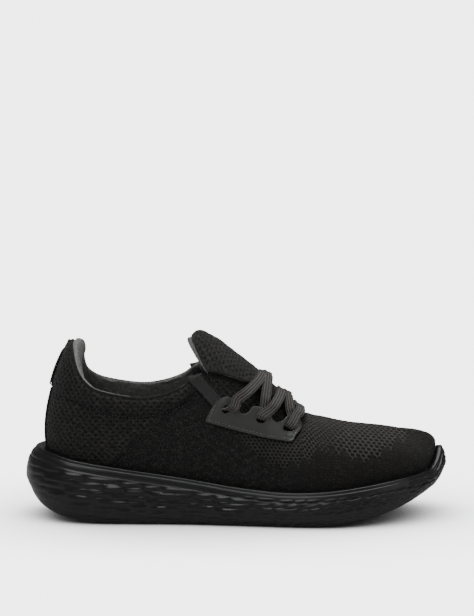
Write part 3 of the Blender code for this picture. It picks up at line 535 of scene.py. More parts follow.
def knit_material(name, dark, light, sheen=0.07, rough=0.85, stitch=1.15, bump=0.5):
    """Yarn: fine V stitches by a wave pair in UV space, mottled colour, soft sheen, painted shade from the
    depth mark.
    """
    mat, nodes, links, shader = material(name)
    uv = add(nodes, "ShaderNodeUVMap", uv_map="UVMap")
    scale = nodes.new("ShaderNodeVectorMath")
    scale.operation = "SCALE"
    scale.inputs["Scale"].default_value = 100.0 / stitch
    links.new(uv.outputs["UV"], scale.inputs[0])
    split = nodes.new("ShaderNodeSeparateXYZ")
    links.new(scale.outputs[0], split.inputs[0])
    column = mix_value(nodes, links, split.outputs["X"], 2 * math.pi)
    zig = mix_value(nodes, links, mix_value(nodes, links, column, 0.0, "COSINE"), 1.1)
    row = mix_value(nodes, links, mix_value(nodes, links, split.outputs["Y"], 2 * math.pi * 1.25), zig, "ADD")
    stitches = mix_value(nodes, links, mix_value(nodes, links, row, 0.0, "SINE"), 0.5)
    wide = mix_value(nodes, links, mix_value(nodes, links, column, 0.5), 0.0, "SINE")
    ribs = mix_value(nodes, links, wide, 0.0, "ABSOLUTE")
    height = mix_value(nodes, links, stitches, ribs, "ADD")
    depth = add(nodes, "ShaderNodeAttribute", attribute_name="depth")
    flecks = noise_texture(nodes, links, Scale=900.0, Detail=3.0, Roughness=0.7)
    cloud = noise_texture(nodes, links, Scale=38.0, Detail=2.0)
    specks = noise_texture(nodes, links, Scale=520.0, Detail=1.0)
    # painted shade: the stitches' relief darkens their hollows, and the depth mark paints pits, dimples and
    # grooves darker and ribs lighter; the noises are the yarn's mottle
    level = mix_value(nodes, links, height, 0.16)
    for source, share in ((flecks, 0.35), (specks, 0.35), (cloud, 0.15), (depth, 0.42)):
        level = mix_value(nodes, links, level, mix_value(nodes, links, source.outputs["Fac"], share), "ADD")
    # the ramp's darkest stop is the painted shade deep in the mesh's pits
    colour = ramp(nodes, links, level, [(0.16, tuple(c * 0.25 for c in dark)), (0.50, dark), (0.88, light)])
    links.new(colour, shader.inputs["Base Color"])
    shader.inputs["Roughness"].default_value = rough
    shader.inputs["Sheen Weight"].default_value = sheen
    shader.inputs["Sheen Roughness"].default_value = 0.45
    shader.inputs["Sheen Tint"].default_value = (0.9, 0.88, 0.85, 1)
    shader.inputs["Specular IOR Level"].default_value = 0.25
    both = mix_value(nodes, links, height, mix_value(nodes, links, flecks.outputs["Fac"], 0.8), "ADD")
    bump_by(nodes, links, shader, both, bump, 0.00035)
    return mat


def webbing_material(name, dark, light, pitch=1.1, rough=0.75, sheen=0.08, ribbed=0.3):
    """Woven tape: ribs along the piece crossed by fine weft, with painted shade in the weave's grooves."""
    mat, nodes, links, shader = material(name)
    uv = add(nodes, "ShaderNodeUVMap", uv_map="UVMap")
    split = nodes.new("ShaderNodeSeparateXYZ")
    links.new(uv.outputs["UV"], split.inputs[0])
    x = mix_value(nodes, links, split.outputs["X"], 100 * 2 * math.pi / pitch)
    y = mix_value(nodes, links, split.outputs["Y"], 100 * 2 * math.pi / 0.8)
    rib = mix_value(nodes, links, mix_value(nodes, links, x, 0.0, "COSINE"), 0.5)
    slant = mix_value(nodes, links, mix_value(nodes, links, y, x, "ADD"), 0.0, "SINE")
    weft = mix_value(nodes, links, slant, 0.35)
    height = mix_value(nodes, links, rib, weft, "ADD")
    flecks = noise_texture(nodes, links, Scale=1400.0, Detail=2.0)
    # painted shade: the weave's relief sets the colour, darker in the grooves and lighter on the ribs' tops,
    # by the share ribbed
    level = mix_value(nodes, links, height, ribbed)
    level = mix_value(nodes, links, level, mix_value(nodes, links, flecks.outputs["Fac"], 0.8), "ADD")
    colour = ramp(nodes, links, level, [(0.1, dark), (0.75, light)])
    links.new(colour, shader.inputs["Base Color"])
    shader.inputs["Roughness"].default_value = rough
    shader.inputs["Sheen Weight"].default_value = sheen
    shader.inputs["Specular IOR Level"].default_value = 0.3
    bump_by(nodes, links, shader, height, 0.6, 0.0003)
    return mat


def plain_material(name, colour, rough, grain, bump, spread=0.25, distance=0.0002, spec=0.5, coat=0.0):
    """Moulded or coated surface: broad and fine variation in colour and gloss, and a fine grain."""
    mat, nodes, links, shader = material(name)
    fine = noise_texture(nodes, links, Scale=grain, Detail=4.0, Roughness=0.6)
    broad = noise_texture(nodes, links, Scale=22.0, Detail=3.0, Roughness=0.5)
    level = mix_value(nodes, links, mix_value(nodes, links, fine.outputs["Fac"], 0.5),
                      mix_value(nodes, links, broad.outputs["Fac"], 0.5), "ADD")
    low = tuple(c * (1 - spread) for c in colour)
    high = tuple(c * (1 + spread) for c in colour)
    links.new(ramp(nodes, links, level, [(0.3, low), (0.7, high)]), shader.inputs["Base Color"])
    gloss = ramp(nodes, links, broad.outputs["Fac"], [(0.3, (rough - 0.06,) * 3), (0.7, (rough + 0.08,) * 3)])
    links.new(gloss, shader.inputs["Roughness"])
    shader.inputs["Specular IOR Level"].default_value = spec
    shader.inputs["Coat Weight"].default_value = coat
    shader.inputs["Coat Roughness"].default_value = 0.16
    bump_by(nodes, links, shader, fine.outputs["Fac"], bump, distance)
    return mat


M = {
    "knit": knit_material("knit_upper", (0.0070, 0.0067, 0.0062), (0.038, 0.0363, 0.0335)),
    # forefoot knit: its light end is raised for the painted highlight on the mesh's ribs
    "knit_fore": knit_material("knit_forefoot", (0.0074, 0.0067, 0.0059), (0.052, 0.0470, 0.0410),
                               stitch=1.0),
    "knit_tongue": knit_material("knit_tongue", (0.0078, 0.0075, 0.0071), (0.040, 0.0385, 0.036)),
    "bootie": knit_material("knit_bootie", (0.0060, 0.0060, 0.0058), (0.024, 0.0235, 0.0225), stitch=0.9),
    "lining": knit_material("knit_lining", (0.070, 0.073, 0.067), (0.21, 0.217, 0.20),
                            sheen=0.15, stitch=0.7, bump=0.3),
    "midsole": plain_material("midsole_foam", (0.0042, 0.0042, 0.0044), 0.34, grain=900, bump=0.08,
                              spread=0.2, spec=0.30, coat=0.16),
    "tread": plain_material("tread_rubber", (0.0075, 0.0075, 0.0078), 0.60, grain=500, bump=0.25),
    "eyestay": plain_material("eyestay_coated", (0.0285, 0.0300, 0.0262), 0.45, grain=1600, bump=0.12,
                              spread=0.12, distance=0.0001),
    "thread": webbing_material("stitch_thread", (0.055, 0.056, 0.050), (0.13, 0.13, 0.118), pitch=0.5),
    "thread_dark": webbing_material("seam_thread", (0.015, 0.015, 0.014), (0.042, 0.041, 0.038), pitch=0.5),
    "webbing": webbing_material("webbing_tape", (0.0080, 0.0081, 0.0077), (0.034, 0.034, 0.0325), pitch=1.0),
    "tab": webbing_material("tab_tape", (0.0035, 0.0035, 0.0035), (0.016, 0.016, 0.0155), pitch=1.0),
    # lace: ribbed=0.75 paints dark grooves and light tops on its ribs, as shade and highlight
    "lace": webbing_material("lace_weave", (0.0105, 0.0096, 0.0088), (0.094, 0.086, 0.078),
                             pitch=1.8, ribbed=0.75),
    "sockliner": knit_material("sockliner_textile", (0.012, 0.012, 0.012), (0.040, 0.040, 0.040), stitch=1.3),
}


# ---------------------------------------------------------------- sole

def sole_profile(g):
    """Sidewall rows of the midsole at ring positions g: list of (inset, z, relief share)."""
    plan = outline(g)
    x = plan[:, 0]
    n = inward(g)
    rim, bulge, rim_in = along(RIM, x), along(BULGE, x), along(RIM_INSET, x)
    rows = []
    one = np.ones_like(x)

    def bottom_mm(inset):
        return along(SOLE_BOTTOM, (plan + n * inset[:, None])[:, 0]) + 0.8

    for inset in (30.0, 16.0, 9.0):
        rows.append((inset * one, bottom_mm(inset * one), 0.0 * one))
    count = 26
    for k in range(count + 1):
        a = k / count * math.pi / 2
        inset = 6.0 * (1 - math.sin(a)) * one
        z = bulge - math.cos(a) * (bulge - bottom_mm(inset))
        rows.append((inset, z, smooth(0.1, 0.45, k / count) * one))
    upper = 44
    for k in range(1, upper + 1):
        share = k / upper
        a = share * SIDEWALL_TURN * math.pi / 2
        z = bulge + (rim - 1.2 - bulge) * math.sin(a) / math.sin(SIDEWALL_TURN * math.pi / 2)
        rows.append((rim_in * (1 - math.cos(a)) * 0.92, z, (1 - smooth(0.50, 0.66, share)) * one))
    last_in, last_z = rows[-1][0], rows[-1][1]
    for k in range(1, 5):
        a = k / 4 * math.pi / 2
        rows.append((last_in + 1.3 * (1 - math.cos(a)), last_z + (rim - last_z) * math.sin(a), 0.0 * one))
    rows.append((cup_inset(x) - 0.35, rim - 0.1, 0.0 * one))
    rows.append((cup_inset(x), rim - 0.8, 0.0 * one))
    rows.append((cup_inset(x), along(FOOTBED, x) + 1.2, 0.0 * one))
    rows.append((cup_inset(x) + 3, along(FOOTBED, x), 0.0 * one))
    rows.append((cup_inset(x) + 16, along(FOOTBED, x), 0.0 * one))
    return rows


def build_midsole():
    columns = 1100
    half = columns // 2
    g = np.concatenate([np.linspace(0, 1, half, endpoint=False), np.linspace(-1, 0, half, endpoint=False)])
    plan, n = outline(g), inward(g)
    x = plan[:, 0]
    steps = np.linalg.norm(np.roll(plan, -1, 0) - plan, axis=1)
    around = np.concatenate([[0], np.cumsum(steps)[:-1]])
    wave = along([(0, 21), (60, 19), (130, 15), (200, 10.5), (260, 8.0), (300, 7.0)], x)
    phase = np.concatenate([[0], np.cumsum(steps / wave)[:-1]])
    phase *= round(phase[-1]) / phase[-1]
    tall = along([(0, 5.6), (60, 5.2), (130, 4.6), (200, 3.7), (260, 3.1), (300, 2.8)], x)
    rows = sole_profile(g)
    grid = np.zeros((len(g), len(rows), 3))
    for k, (inset, z, _) in enumerate(rows):
        grid[:, k, :2] = plan + n * inset[:, None]
        grid[:, k, 2] = z
    normals = grid_normals(grid, loop=True)
    outward = -np.concatenate([n, np.zeros((len(g), 1))], 1)[:, None, :]
    normals *= np.sign((normals * outward).sum(-1, keepdims=True) + 1e-9)
    relief = np.stack([r[2] for r in rows], 1)
    below = (grid[:, :, 2] - along(RIM, x)[:, None] + 7.0) / tall[:, None]
    band = np.floor(below)
    v = below - band - 0.5
    drift = pattern_noise(band, 3.0) * 0.25 + 0.5 * (band % 2)
    u = phase[:, None] + drift + 0.16 * np.sin(phase[:, None] * 1.9 + band * 2.1)
    cell = np.floor(u)
    w = u - cell - 0.5
    size = 0.70 + 0.6 * pattern_noise(cell, band)
    tilt = v + 0.42 * w + 0.10 * np.sin(cell * 2.4)
    ends = np.clip(1 - (2 * w) ** 2, 0, 1) ** 0.6
    leaf = ends * np.exp(-(tilt / (0.30 * size)) ** 2)
    hollow = ends * np.exp(-((tilt + 0.40) / 0.13) ** 2)
    depth = along([(0, 0.15), (14, 0.45), (40, 0.95), (120, 0.90), (200, 0.75), (300, 0.62)], x)[:, None]
    displacement = relief * depth * (0.72 * size * leaf - 0.75 * hollow - 0.10)
    under = along(RIM, x)[:, None] - grid[:, :, 2]
    lip = np.exp(-((under - 6.3) / 0.60) ** 2) + 0.8 * np.exp(-((under - 1.9) / 0.38) ** 2)
    count = len(rows)
    side_rows = np.array([1.0 if 8 < k < count - 8 else 0.0 for k in range(count)])
    displacement = displacement - 0.50 * lip * side_rows
    grid += normals * displacement[..., None]
    faces = grid_faces(columns, count, loop=True)
    uv = np.stack([np.broadcast_to(around[:, None], relief.shape), grid[:, :, 2]], -1).reshape(-1, 2)
    i = np.arange(half)
    caps = []
    for row in (0, count - 1):
        a = i * count + row
        b = (i + 1) * count + row
        c = ((columns - i - 1) % columns) * count + row
        d = ((columns - i) % columns) * count + row
        caps.append(np.stack([a, b, c, d] if row == 0 else [d, c, b, a], -1))
    obj = new_piece("midsole", grid.reshape(-1, 3), np.concatenate([faces] + caps), M["midsole"], uv)
    face_out(obj, (0.0, 0.0, 0.02))
    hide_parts("midsole_rear", "midsole_forefoot", "lasting_board_rear", "lasting_board_forefoot")
    flexes(obj)


def flexes(obj):
    """Bakes the piece's placement into its mesh."""
    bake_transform(obj)


def build_sockliner():
    xs = np.linspace(14, 284, 90)
    v = np.linspace(-1, 1, 41)
    left = -np.interp(xs, station(0, np.linspace(1, 0, 800)), -station(1, np.linspace(1, 0, 800)))
    right = np.interp(xs, station(0, np.linspace(-1, 0, 800)), station(1, np.linspace(-1, 0, 800)))
    inset = cup_inset(xs) + 4.8
    low, high = left + inset, right - inset
    y = (low + high)[:, None] / 2 + (high - low)[:, None] / 2 * v[None, :]
    x = np.broadcast_to(xs[:, None], y.shape)
    z = along(FOOTBED, x) + 5.4 + 1.2 * np.abs(v[None, :]) ** 4 + 0.12 * fbm(x, y, 14)
    top = np.stack([x, y, z], -1)
    foot = top - np.array([0, 0, 4.0])
    points, faces = close_slab(top, foot)
    uv = points[:, :2]
    obj = new_piece("sockliner", points, faces, M["sockliner"], uv, {"depth": np.zeros(len(points))})
    face_out(obj, (0, 0, 0.0))
    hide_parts("sockliner_rear", "sockliner_forefoot")
    flexes(obj)


def build_treads():
    """Rubber pads under the sole, each with cross grooves and a rounded border."""
    for node, body in (("tread_heel_lateral", "rearfoot"), ("tread_heel_medial", "rearfoot"),
                       ("tread_ball", "rearfoot"), ("tread_toe", "forefoot")):
        low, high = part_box(node)
        x0, x1 = low[0] / MM - BACK, high[0] / MM - BACK
        step = 0.7
        nx, ny = int((x1 - x0) / step), int((high[1] - low[1]) / MM / step)
        xs, share = np.linspace(x0, x1, nx), np.linspace(0, 1, ny)
        gl = ring_at(xs)
        edge_l, edge_m = station(1, gl) + 9.5, station(1, -gl) - 9.5
        if "heel" not in node:
            edge_l, edge_m = edge_l - 1, edge_m + 1
        a = edge_l if "medial" not in node else np.full(nx, 8.0)
        b = edge_m if "lateral" not in node else np.full(nx, -8.0)
        y = a[:, None] * (1 - share) + b[:, None] * share
        x = np.broadcast_to(xs[:, None], y.shape)
        border = np.minimum.reduce([x - x0, x1 - x, y - a[:, None], b[:, None] - y])
        chevron = (x + 0.45 * np.abs(y)) / 7.5
        groove = np.exp(-((chevron - np.round(chevron)) / 0.085) ** 2)
        length = np.exp(-((y / 13 - np.round(y / 13)) / 0.06) ** 2)
        pit = np.maximum(groove, length) * smooth(0.8, 2.4, border)
        z = along(SOLE_BOTTOM, x) + 1.1 * pit + 0.9 * (1 - smooth(0, 1.1, border))
        bottom = np.stack([x, y, z], -1)
        top = np.stack([x, y, along(SOLE_BOTTOM, x) + 2.6], -1)
        points, faces = close_slab(bottom, top)
        obj = new_piece(node + "_pad", points, faces, M["tread"], points[:, :2])
        face_out(obj, ((low[0] + high[0]) / 2, (low[1] + high[1]) / 2, low[2] + 0.5))
        dress(obj, "tread", body, node)


# ---------------------------------------------------------------- knit upper

def seam_offset(x, z):
    """Signed distance of a side point from the heel seam: positive towards the toe."""
    (x0, z0), (x1, z1) = SEAM
    dx, dz = x1 - x0, z1 - z0
    return ((x - x0) * dz - (z - z0) * dx) / math.hypot(dx, dz)


def honeycomb(u, v, pitch):
    """0 in a pit's middle to 1 on the ribs of a staggered net of pits."""
    row = np.round(v / (pitch * 0.80))
    vv = v - row * pitch * 0.80
    uu = u / pitch + 0.5 * (row % 2)
    uu = (uu - np.round(uu)) * pitch
    row2 = row + np.where(vv > 0, 1, -1)
    vv2 = v - row2 * pitch * 0.80
    uu2 = u / pitch + 0.5 * (row2 % 2)
    uu2 = (uu2 - np.round(uu2)) * pitch
    r = np.minimum(np.hypot(uu, vv * 1.12), np.hypot(uu2, vv2 * 1.12))
    return smooth(0.16, 0.50, r / pitch)


def dashes(u, v, pitch, rows, wide, tall):
    """Staggered short dimples: 1 in each one's middle."""
    row = np.round(v / rows)
    vv = v - row * rows
    uu = u / pitch + 0.5 * (row % 2) + 0.12 * pattern_noise(row, 7.0)
    cell = np.round(uu)
    uu = (uu - cell) * pitch
    size = 0.85 + 0.3 * pattern_noise(cell, row)
    return np.exp(-((uu / (wide * size)) ** 2 + (vv / (tall * size)) ** 2) ** 1.5)


def yarn(u, v, size, seed=0.0):
    """Irregular beads of yarn about -1 to 1."""
    a = np.sin(2 * math.pi * (u + 0.35 * np.sin(v * 1.3 + seed)) / size)
    b = np.sin(2 * math.pi * (v + 0.35 * np.sin(u * 1.1 + seed)) / (size * 0.82))
    cell = pattern_noise(np.round(2 * u / size), np.round(2.4 * v / size) + seed)
    return a * b * 0.6 + (cell - 0.5) * 0.8


def cloth_zones(x, z):
    """Where each knit stitch is used: heel share, mesh share and forefoot share."""
    heel = smooth(1.0, -6.0, seam_offset(x, z))
    floor = along([(146, 66), (156, 57), (170, 47), (184, 42), (190, 45), (198, 46), (206, 52.5), (214, 53.5),
                   (222, 52.5), (232, 48.5), (241, 46.5), (246, 47), (252, 50.5), (261, 55), (271, 57.5),
                   (277, 60), (284, 70)], x)
    ragged = 2.2 * np.sin(2 * math.pi * x / 9.5) + 1.2 * np.sin(2 * math.pi * x / 4.1 + 1)
    mesh = smooth(-1.6, 1.6, z - floor + ragged) * smooth(284, 272, x)
    mesh = mesh * smooth(144, 168, x + 0.5 * (z - 50))
    return heel, mesh, smooth(184, 190, x + 0.25 * (z - 40))


def knit_relief(x, z, u, v, rise, hem):
    """(height, shade) of the knit: height in millimetres, shade from -1 dark to 1 light: yarn mottle with
    painted shade and highlight.
    """
    heel, mesh, fore = cloth_zones(x, z)
    stay_line = along([(128, 84), (152, 80), (175, 73), (197, 66)], x)
    throat = smooth(-1.0, 3.0, z - stay_line) * smooth(200, 190, x)
    throat = throat * smooth(126, 136, x)
    mesh = mesh * (1 - throat)
    heel = np.maximum(heel, 0.85 * throat)
    mid = (1 - heel) * (1 - fore)
    beads = yarn(u, v, BEAD, 0.7)
    # heel and quarter: rows of short dimples in a beaded ground
    dimple = dashes(u, v, *HEEL_DIMPLES)
    # collar padding: swelling above a stitched line
    pad_line = along([(20, 92), (40, 84), (60, 78), (74, 76), (98, 78), (119, 87), (130, 92)], x)
    above = z - pad_line
    on_collar = smooth(126, 116, x)
    pad = on_collar * smooth(-0.3, 6.0, above) * smooth(0.0, 4.0, hem)
    groove = on_collar * np.exp(-(above / 0.9) ** 2) * smooth(24, 40, x)
    seam = np.exp(-(seam_offset(x, z) / 0.8) ** 2) * smooth(130, 118, x) * smooth(0, 4, hem)
    # midfoot: flat tweed with scattered light yarns
    tweed = 0.16 * fbm(u, v, 4.1, 0.4) + 0.11 * beads
    # mesh of the vamp: pits between ribs, larger towards the toe; in colour the pits get painted shade and
    # the ribs a painted highlight
    near_stay = smooth(228, 206, x)
    comb = near_stay * honeycomb(u, v, FINE_MESH) + (1 - near_stay) * honeycomb(u, v, LARGE_MESH)
    strength = 0.80 + 0.20 * smooth(186, 200, x)
    # sides of the forefoot: fine ribs that follow the sole's edge round the toe
    rib = 0.5 + 0.5 * np.sin(2 * math.pi * (rise - along(RIM, x) + 0.10 * x) / RIB_PITCH)
    rib = rib + 0.35 * beads
    height = heel * (0.12 * beads - 0.50 * dimple)
    height = height + mid * (1 - mesh) * tweed
    height = height + fore * (1 - heel) * (1 - mesh) * (0.15 * rib + 0.03 * beads)
    height = height + (1 - heel) * mesh * strength * (0.72 * comb - 0.50 + 0.08 * beads)
    height = height + 1.6 * pad - 0.6 * groove - 0.5 * seam + 0.10 * fbm(x, z, 23, 0.9)
    # painted shade and highlight: dimples, mesh pits, rib grooves, the padding groove and the seam are
    # painted darker, the mesh's and forefoot's ribs lighter; beads and tweed are the yarn's mottle
    shade = heel * (0.95 * beads - 1.45 * dimple + 0.22)
    shade = shade + mid * (1 - mesh) * (0.95 * beads + 0.7 * fbm(u, v, 3.3, 1.7) - 0.15)
    shade = shade + fore * (1 - heel) * (1 - mesh) * (0.42 * rib + 0.30 * beads - 0.42)
    shade = shade + (1 - heel) * mesh * strength * (2.3 * comb - 1.40 + 0.55 * beads)
    shade = shade - 0.5 * groove - 0.5 * seam
    return height, shade


def upper_columns(g0, g1, step):
    """Ring positions from g0 to g1, evenly spaced on the rim."""
    g = np.linspace(g0, g1, 600)
    p = wall(g, 0.1)
    length = arc_length(p)
    return np.interp(np.linspace(0, length[-1], max(4, int(length[-1] / step))), length, g)


def build_knit(name, g0, g1, mat):
    """A panel of the upper's knit between two ring positions, with its hem folded over the top edge."""
    low, thick = -0.45, 1.8
    g = upper_columns(g0, g1, STEP)
    middle = wall(np.full(200, (g0 + g1) / 2), np.linspace(low, 1, 200))
    tall = np.linalg.norm(np.diff(middle, axis=0), axis=1).sum()
    rows = max(20, int(tall / STEP))
    fine_t = np.linspace(low, 1.0, 160)
    G, T = np.meshgrid(g, fine_t, indexing="ij")
    coarse = wall(G, T)
    climb = np.cumsum(np.linalg.norm(np.diff(coarse, axis=1), axis=2), 1)
    arc = np.concatenate([np.zeros((len(g), 1)), climb], 1)
    t = np.stack([np.interp(np.linspace(0, a[-1], rows), a, fine_t) for a in arc])
    G = np.broadcast_to(g[:, None], t.shape)
    p = wall(G, t)
    n = wall_normal(G, t)
    from_top = arc[:, -1:] - np.stack([np.interp(tt, fine_t, a) for tt, a in zip(t, arc)])
    x, y, z = p[..., 0], p[..., 1], p[..., 2]
    row_len = np.linalg.norm(np.diff(p, axis=0), axis=2)
    flat = np.sqrt(np.diff(y, axis=1) ** 2 + np.diff(z, axis=1) ** 2)
    v = np.concatenate([np.zeros((len(g), 1)), np.cumsum(flat, 1)], 1)
    at_rim = np.argmin(np.abs(t), axis=1)
    v = v - np.take_along_axis(v, at_rim[:, None], 1) + along(RIM, station(0, g))[:, None]
    u = x * 1.03
    nose = wall(np.zeros(60), np.linspace(1, 0.2, 60))
    crest_x = np.linspace(197, 261, 33)
    crest_z = np.interp(crest_x, STATIONS[::-1, 3], STATIONS[::-1, 6])
    ridge_x, ridge_z = np.concatenate([crest_x, nose[:, 0]]), np.concatenate([crest_z, nose[:, 2]])
    middle_y = np.interp(x, [197, 262], [0.3, 5.0])
    chord = np.hypot(y - middle_y, z - np.interp(x, ridge_x, ridge_z))
    over = smooth(194, 214, x)
    rise = v
    below = np.interp(x, ridge_x, ridge_z) - z
    v = v * (1 - over) + over * (96.0 - 0.50 * chord - 0.90 * below)
    if abs((g0 + g1) / 2) > 0.55:
        mid_row = int(rows * 0.5)
        s = np.concatenate([[0], np.cumsum(row_len[:, mid_row])])
        s = s - np.interp(float(ring_at(60.0)) * (1 if g[-1] > 0.5 else -1), g, s) if g[-1] > g[0] else s
        u = np.broadcast_to(s[:, None], x.shape)
    ridge = station(5, np.abs(g)) <= 0.01
    hem = np.where(ridge[:, None], 40.0, from_top)
    height, depth = knit_relief(x, z, u, v, rise, hem)
    calm = smooth(0.0, 3.0, hem)
    p = p + n * (height * calm)[..., None]
    # painted shade and highlight from knit_relief, faded out towards the hem
    depth = depth * smooth(0.3, 2.0, hem)
    uv = np.stack([u, v], -1)
    # hem: round the edge and carry on inside
    end, up = p[:, -1], n[:, -1]
    tangent = p[:, -1] - p[:, -4]
    tangent /= np.linalg.norm(tangent, axis=1, keepdims=True) + 1e-9
    keep = ~ridge
    fold = []
    for k in range(1, 7):
        a = math.pi * k / 6
        turned = end - up * (thick / 2) * (1 - math.cos(a))
        fold.append(turned + tangent * (thick / 2) * math.sin(a) * keep[:, None])
    for drop in (2.0, 4.5, 7.0):
        fold.append(end - up * thick - tangent * drop * keep[:, None])
    fold = np.stack(fold, 1)
    grid = np.concatenate([p, fold], 1)
    more = np.arange(1, fold.shape[1] + 1) * 0.5
    extra = np.repeat(uv[:, -1:], len(more), 1) + np.stack([np.zeros(len(more)), more], -1)
    uv = np.concatenate([uv, extra], 1)
    depth = np.concatenate([depth, np.full(fold.shape[:2], 0.05)], 1)
    faces = grid_faces(grid.shape[0], grid.shape[1])
    column = faces[:, 0] // grid.shape[1]
    row = faces[:, 0] % grid.shape[1]
    folded = row >= p.shape[1] - 1
    good = ~folded | (keep[column] & keep[np.minimum(column + 1, len(keep) - 1)])
    obj = new_piece(name, grid.reshape(-1, 3), faces[good], mat, uv.reshape(-1, 2), {"depth": depth.ravel()})
    return face_out(obj)


def drop_loose(obj):
    bm = bmesh.new()
    bm.from_mesh(obj.data)
    bmesh.ops.delete(bm, geom=[v for v in bm.verts if not v.link_faces], context="VERTS")
    bm.to_mesh(obj.data)
    bm.free()
    return obj


def build_upper():
    flex = float(ring_at(FLEX_X))
    lateral = drop_loose(build_knit("quarter_knit_lateral", flex, 1.0, M["knit"]))
    medial = drop_loose(build_knit("quarter_knit_medial", -1.0, -flex, M["knit"]))
    fore = drop_loose(build_knit("forefoot_knit", -flex, flex, M["knit_fore"]))
    dress(lateral, "knit", "rearfoot", "midfoot_knit_lateral", "heel_quarter_knit", "heel_counter",
          "collar_foam")
    dress(medial, "knit", "rearfoot", "midfoot_knit_medial")
    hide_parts("vamp_flex_knit", "toe_box_knit", "toe_puff")
    flexes(fore)


def lining_profile(g):
    """Key points of the padded lining at ring position g: under the hem, over the roll, down the inside."""
    x = float(station(0, g))
    r = float(along([(0, 4.6), (14, 4.2), (30, 3.0), (60, 2.2), (100, 1.9), (124, 1.3)], x))
    top, n = wall(g, 1.0), wall_normal(g, 0.985)
    tangent = top - wall(g, 0.97)
    tangent /= np.linalg.norm(tangent)
    flat = np.concatenate([inward(g), [0.0]])
    up = np.array([0.0, 0.0, 1.0])
    centre = top + flat * (1.0 + r) - up * (r - 0.62)
    keys = [top - tangent * 2.5 - n * 2.1, top - tangent * 0.5 - n * 2.1]
    for degrees in (150, 115, 80, 45, 10):
        a = math.radians(degrees)
        keys.append(centre + r * (flat * math.cos(a) + up * math.sin(a)))
    ts = np.linspace(-0.95, 1.0, 120)
    column = wall(np.full_like(ts, g), ts)
    inside_x = (keys[-1] - top) @ flat
    floor = along(FOOTBED, x) + 6.0
    start = keys[-1][2] - 0.8 * r - 1.0
    for share in (0.0, 0.10, 0.24, 0.42, 0.62, 0.82, 1.0):
        z = start + (floor - start) * share
        out = np.array([np.interp(z, column[:, 2], column[:, k]) for k in range(3)])
        near_top = top + flat * (inside_x + 0.3)
        near_top[2] = z
        away = out + flat * 3.6
        w = float(smooth(0.0, 24.0, start - z))
        keys.append(near_top * (1 - w) + away * w)
    return np.array(keys)


def build_lining():
    """Padded lining: a full roll along the topline, then the smooth inside of the quarters."""
    first = float(ring_at(126.0))
    half = np.linspace(first, 1, 420)
    g = np.concatenate([half, -half[-2::-1]])
    rows = 150
    p = np.stack([spline(lining_profile(v), rows) for v in g])
    p[:, 1:-1] = 0.5 * p[:, 1:-1] + 0.25 * (p[:, :-2] + p[:, 2:])
    for _ in range(6):
        p[1:-1] = 0.5 * p[1:-1] + 0.25 * (p[:-2] + p[2:])
    pins = border_pins(p, 3)
    pins[:, :8] = True
    pins[:, int(rows * 0.62):] = True
    p = settle(p[:, ::-1], pins[:, ::-1], -0.9, 0.9, size=(260, 50))[:, ::-1]
    n = grid_normals(p)
    u = arc_length(p[:, 20])
    v = arc_length(p[len(g) // 2])
    U, V = np.meshgrid(u, v, indexing="ij")
    crease = 0.16 * fbm(U, V * 1.8, 19, 0.7) + 0.06 * fbm(U, V, 7, 1.9)
    p = p + n * crease[..., None]
    # painted light and shade: lighter over the roll along the topline, darker further down the inside
    shade = 0.85 * smooth(11.0, 4.0, V) - 0.25 * smooth(8.0, 26.0, V) + 0.08
    obj = grid_piece("collar_lining_padded", p, M["lining"], np.stack([U, V], -1), shade)
    face_out(obj)
    obj.data.flip_normals()
    dress(obj, "lining", "rearfoot", "collar_lining")


# ---------------------------------------------------------------- tongue and gussets

def tongue_value(column, x):
    return along([(row[0], row[column]) for row in TONGUE], x)


def tongue_face(x, v):
    x, v = np.broadcast_arrays(np.asarray(x, float), np.asarray(v, float))
    crest, edge = tongue_value(1, x), tongue_value(3, x)
    return np.stack([x, v * tongue_value(2, x), crest - (crest - edge) * np.abs(v) ** 2.1], -1)


def tongue_normal(x, v):
    across = tongue_face(x, v + 0.02) - tongue_face(x, v - 0.02)
    back = tongue_face(x - 0.5, v) - tongue_face(x + 0.5, v)
    n = np.cross(across, -back)
    n /= np.linalg.norm(n, axis=-1, keepdims=True)
    return n * np.sign(n[..., 2:])


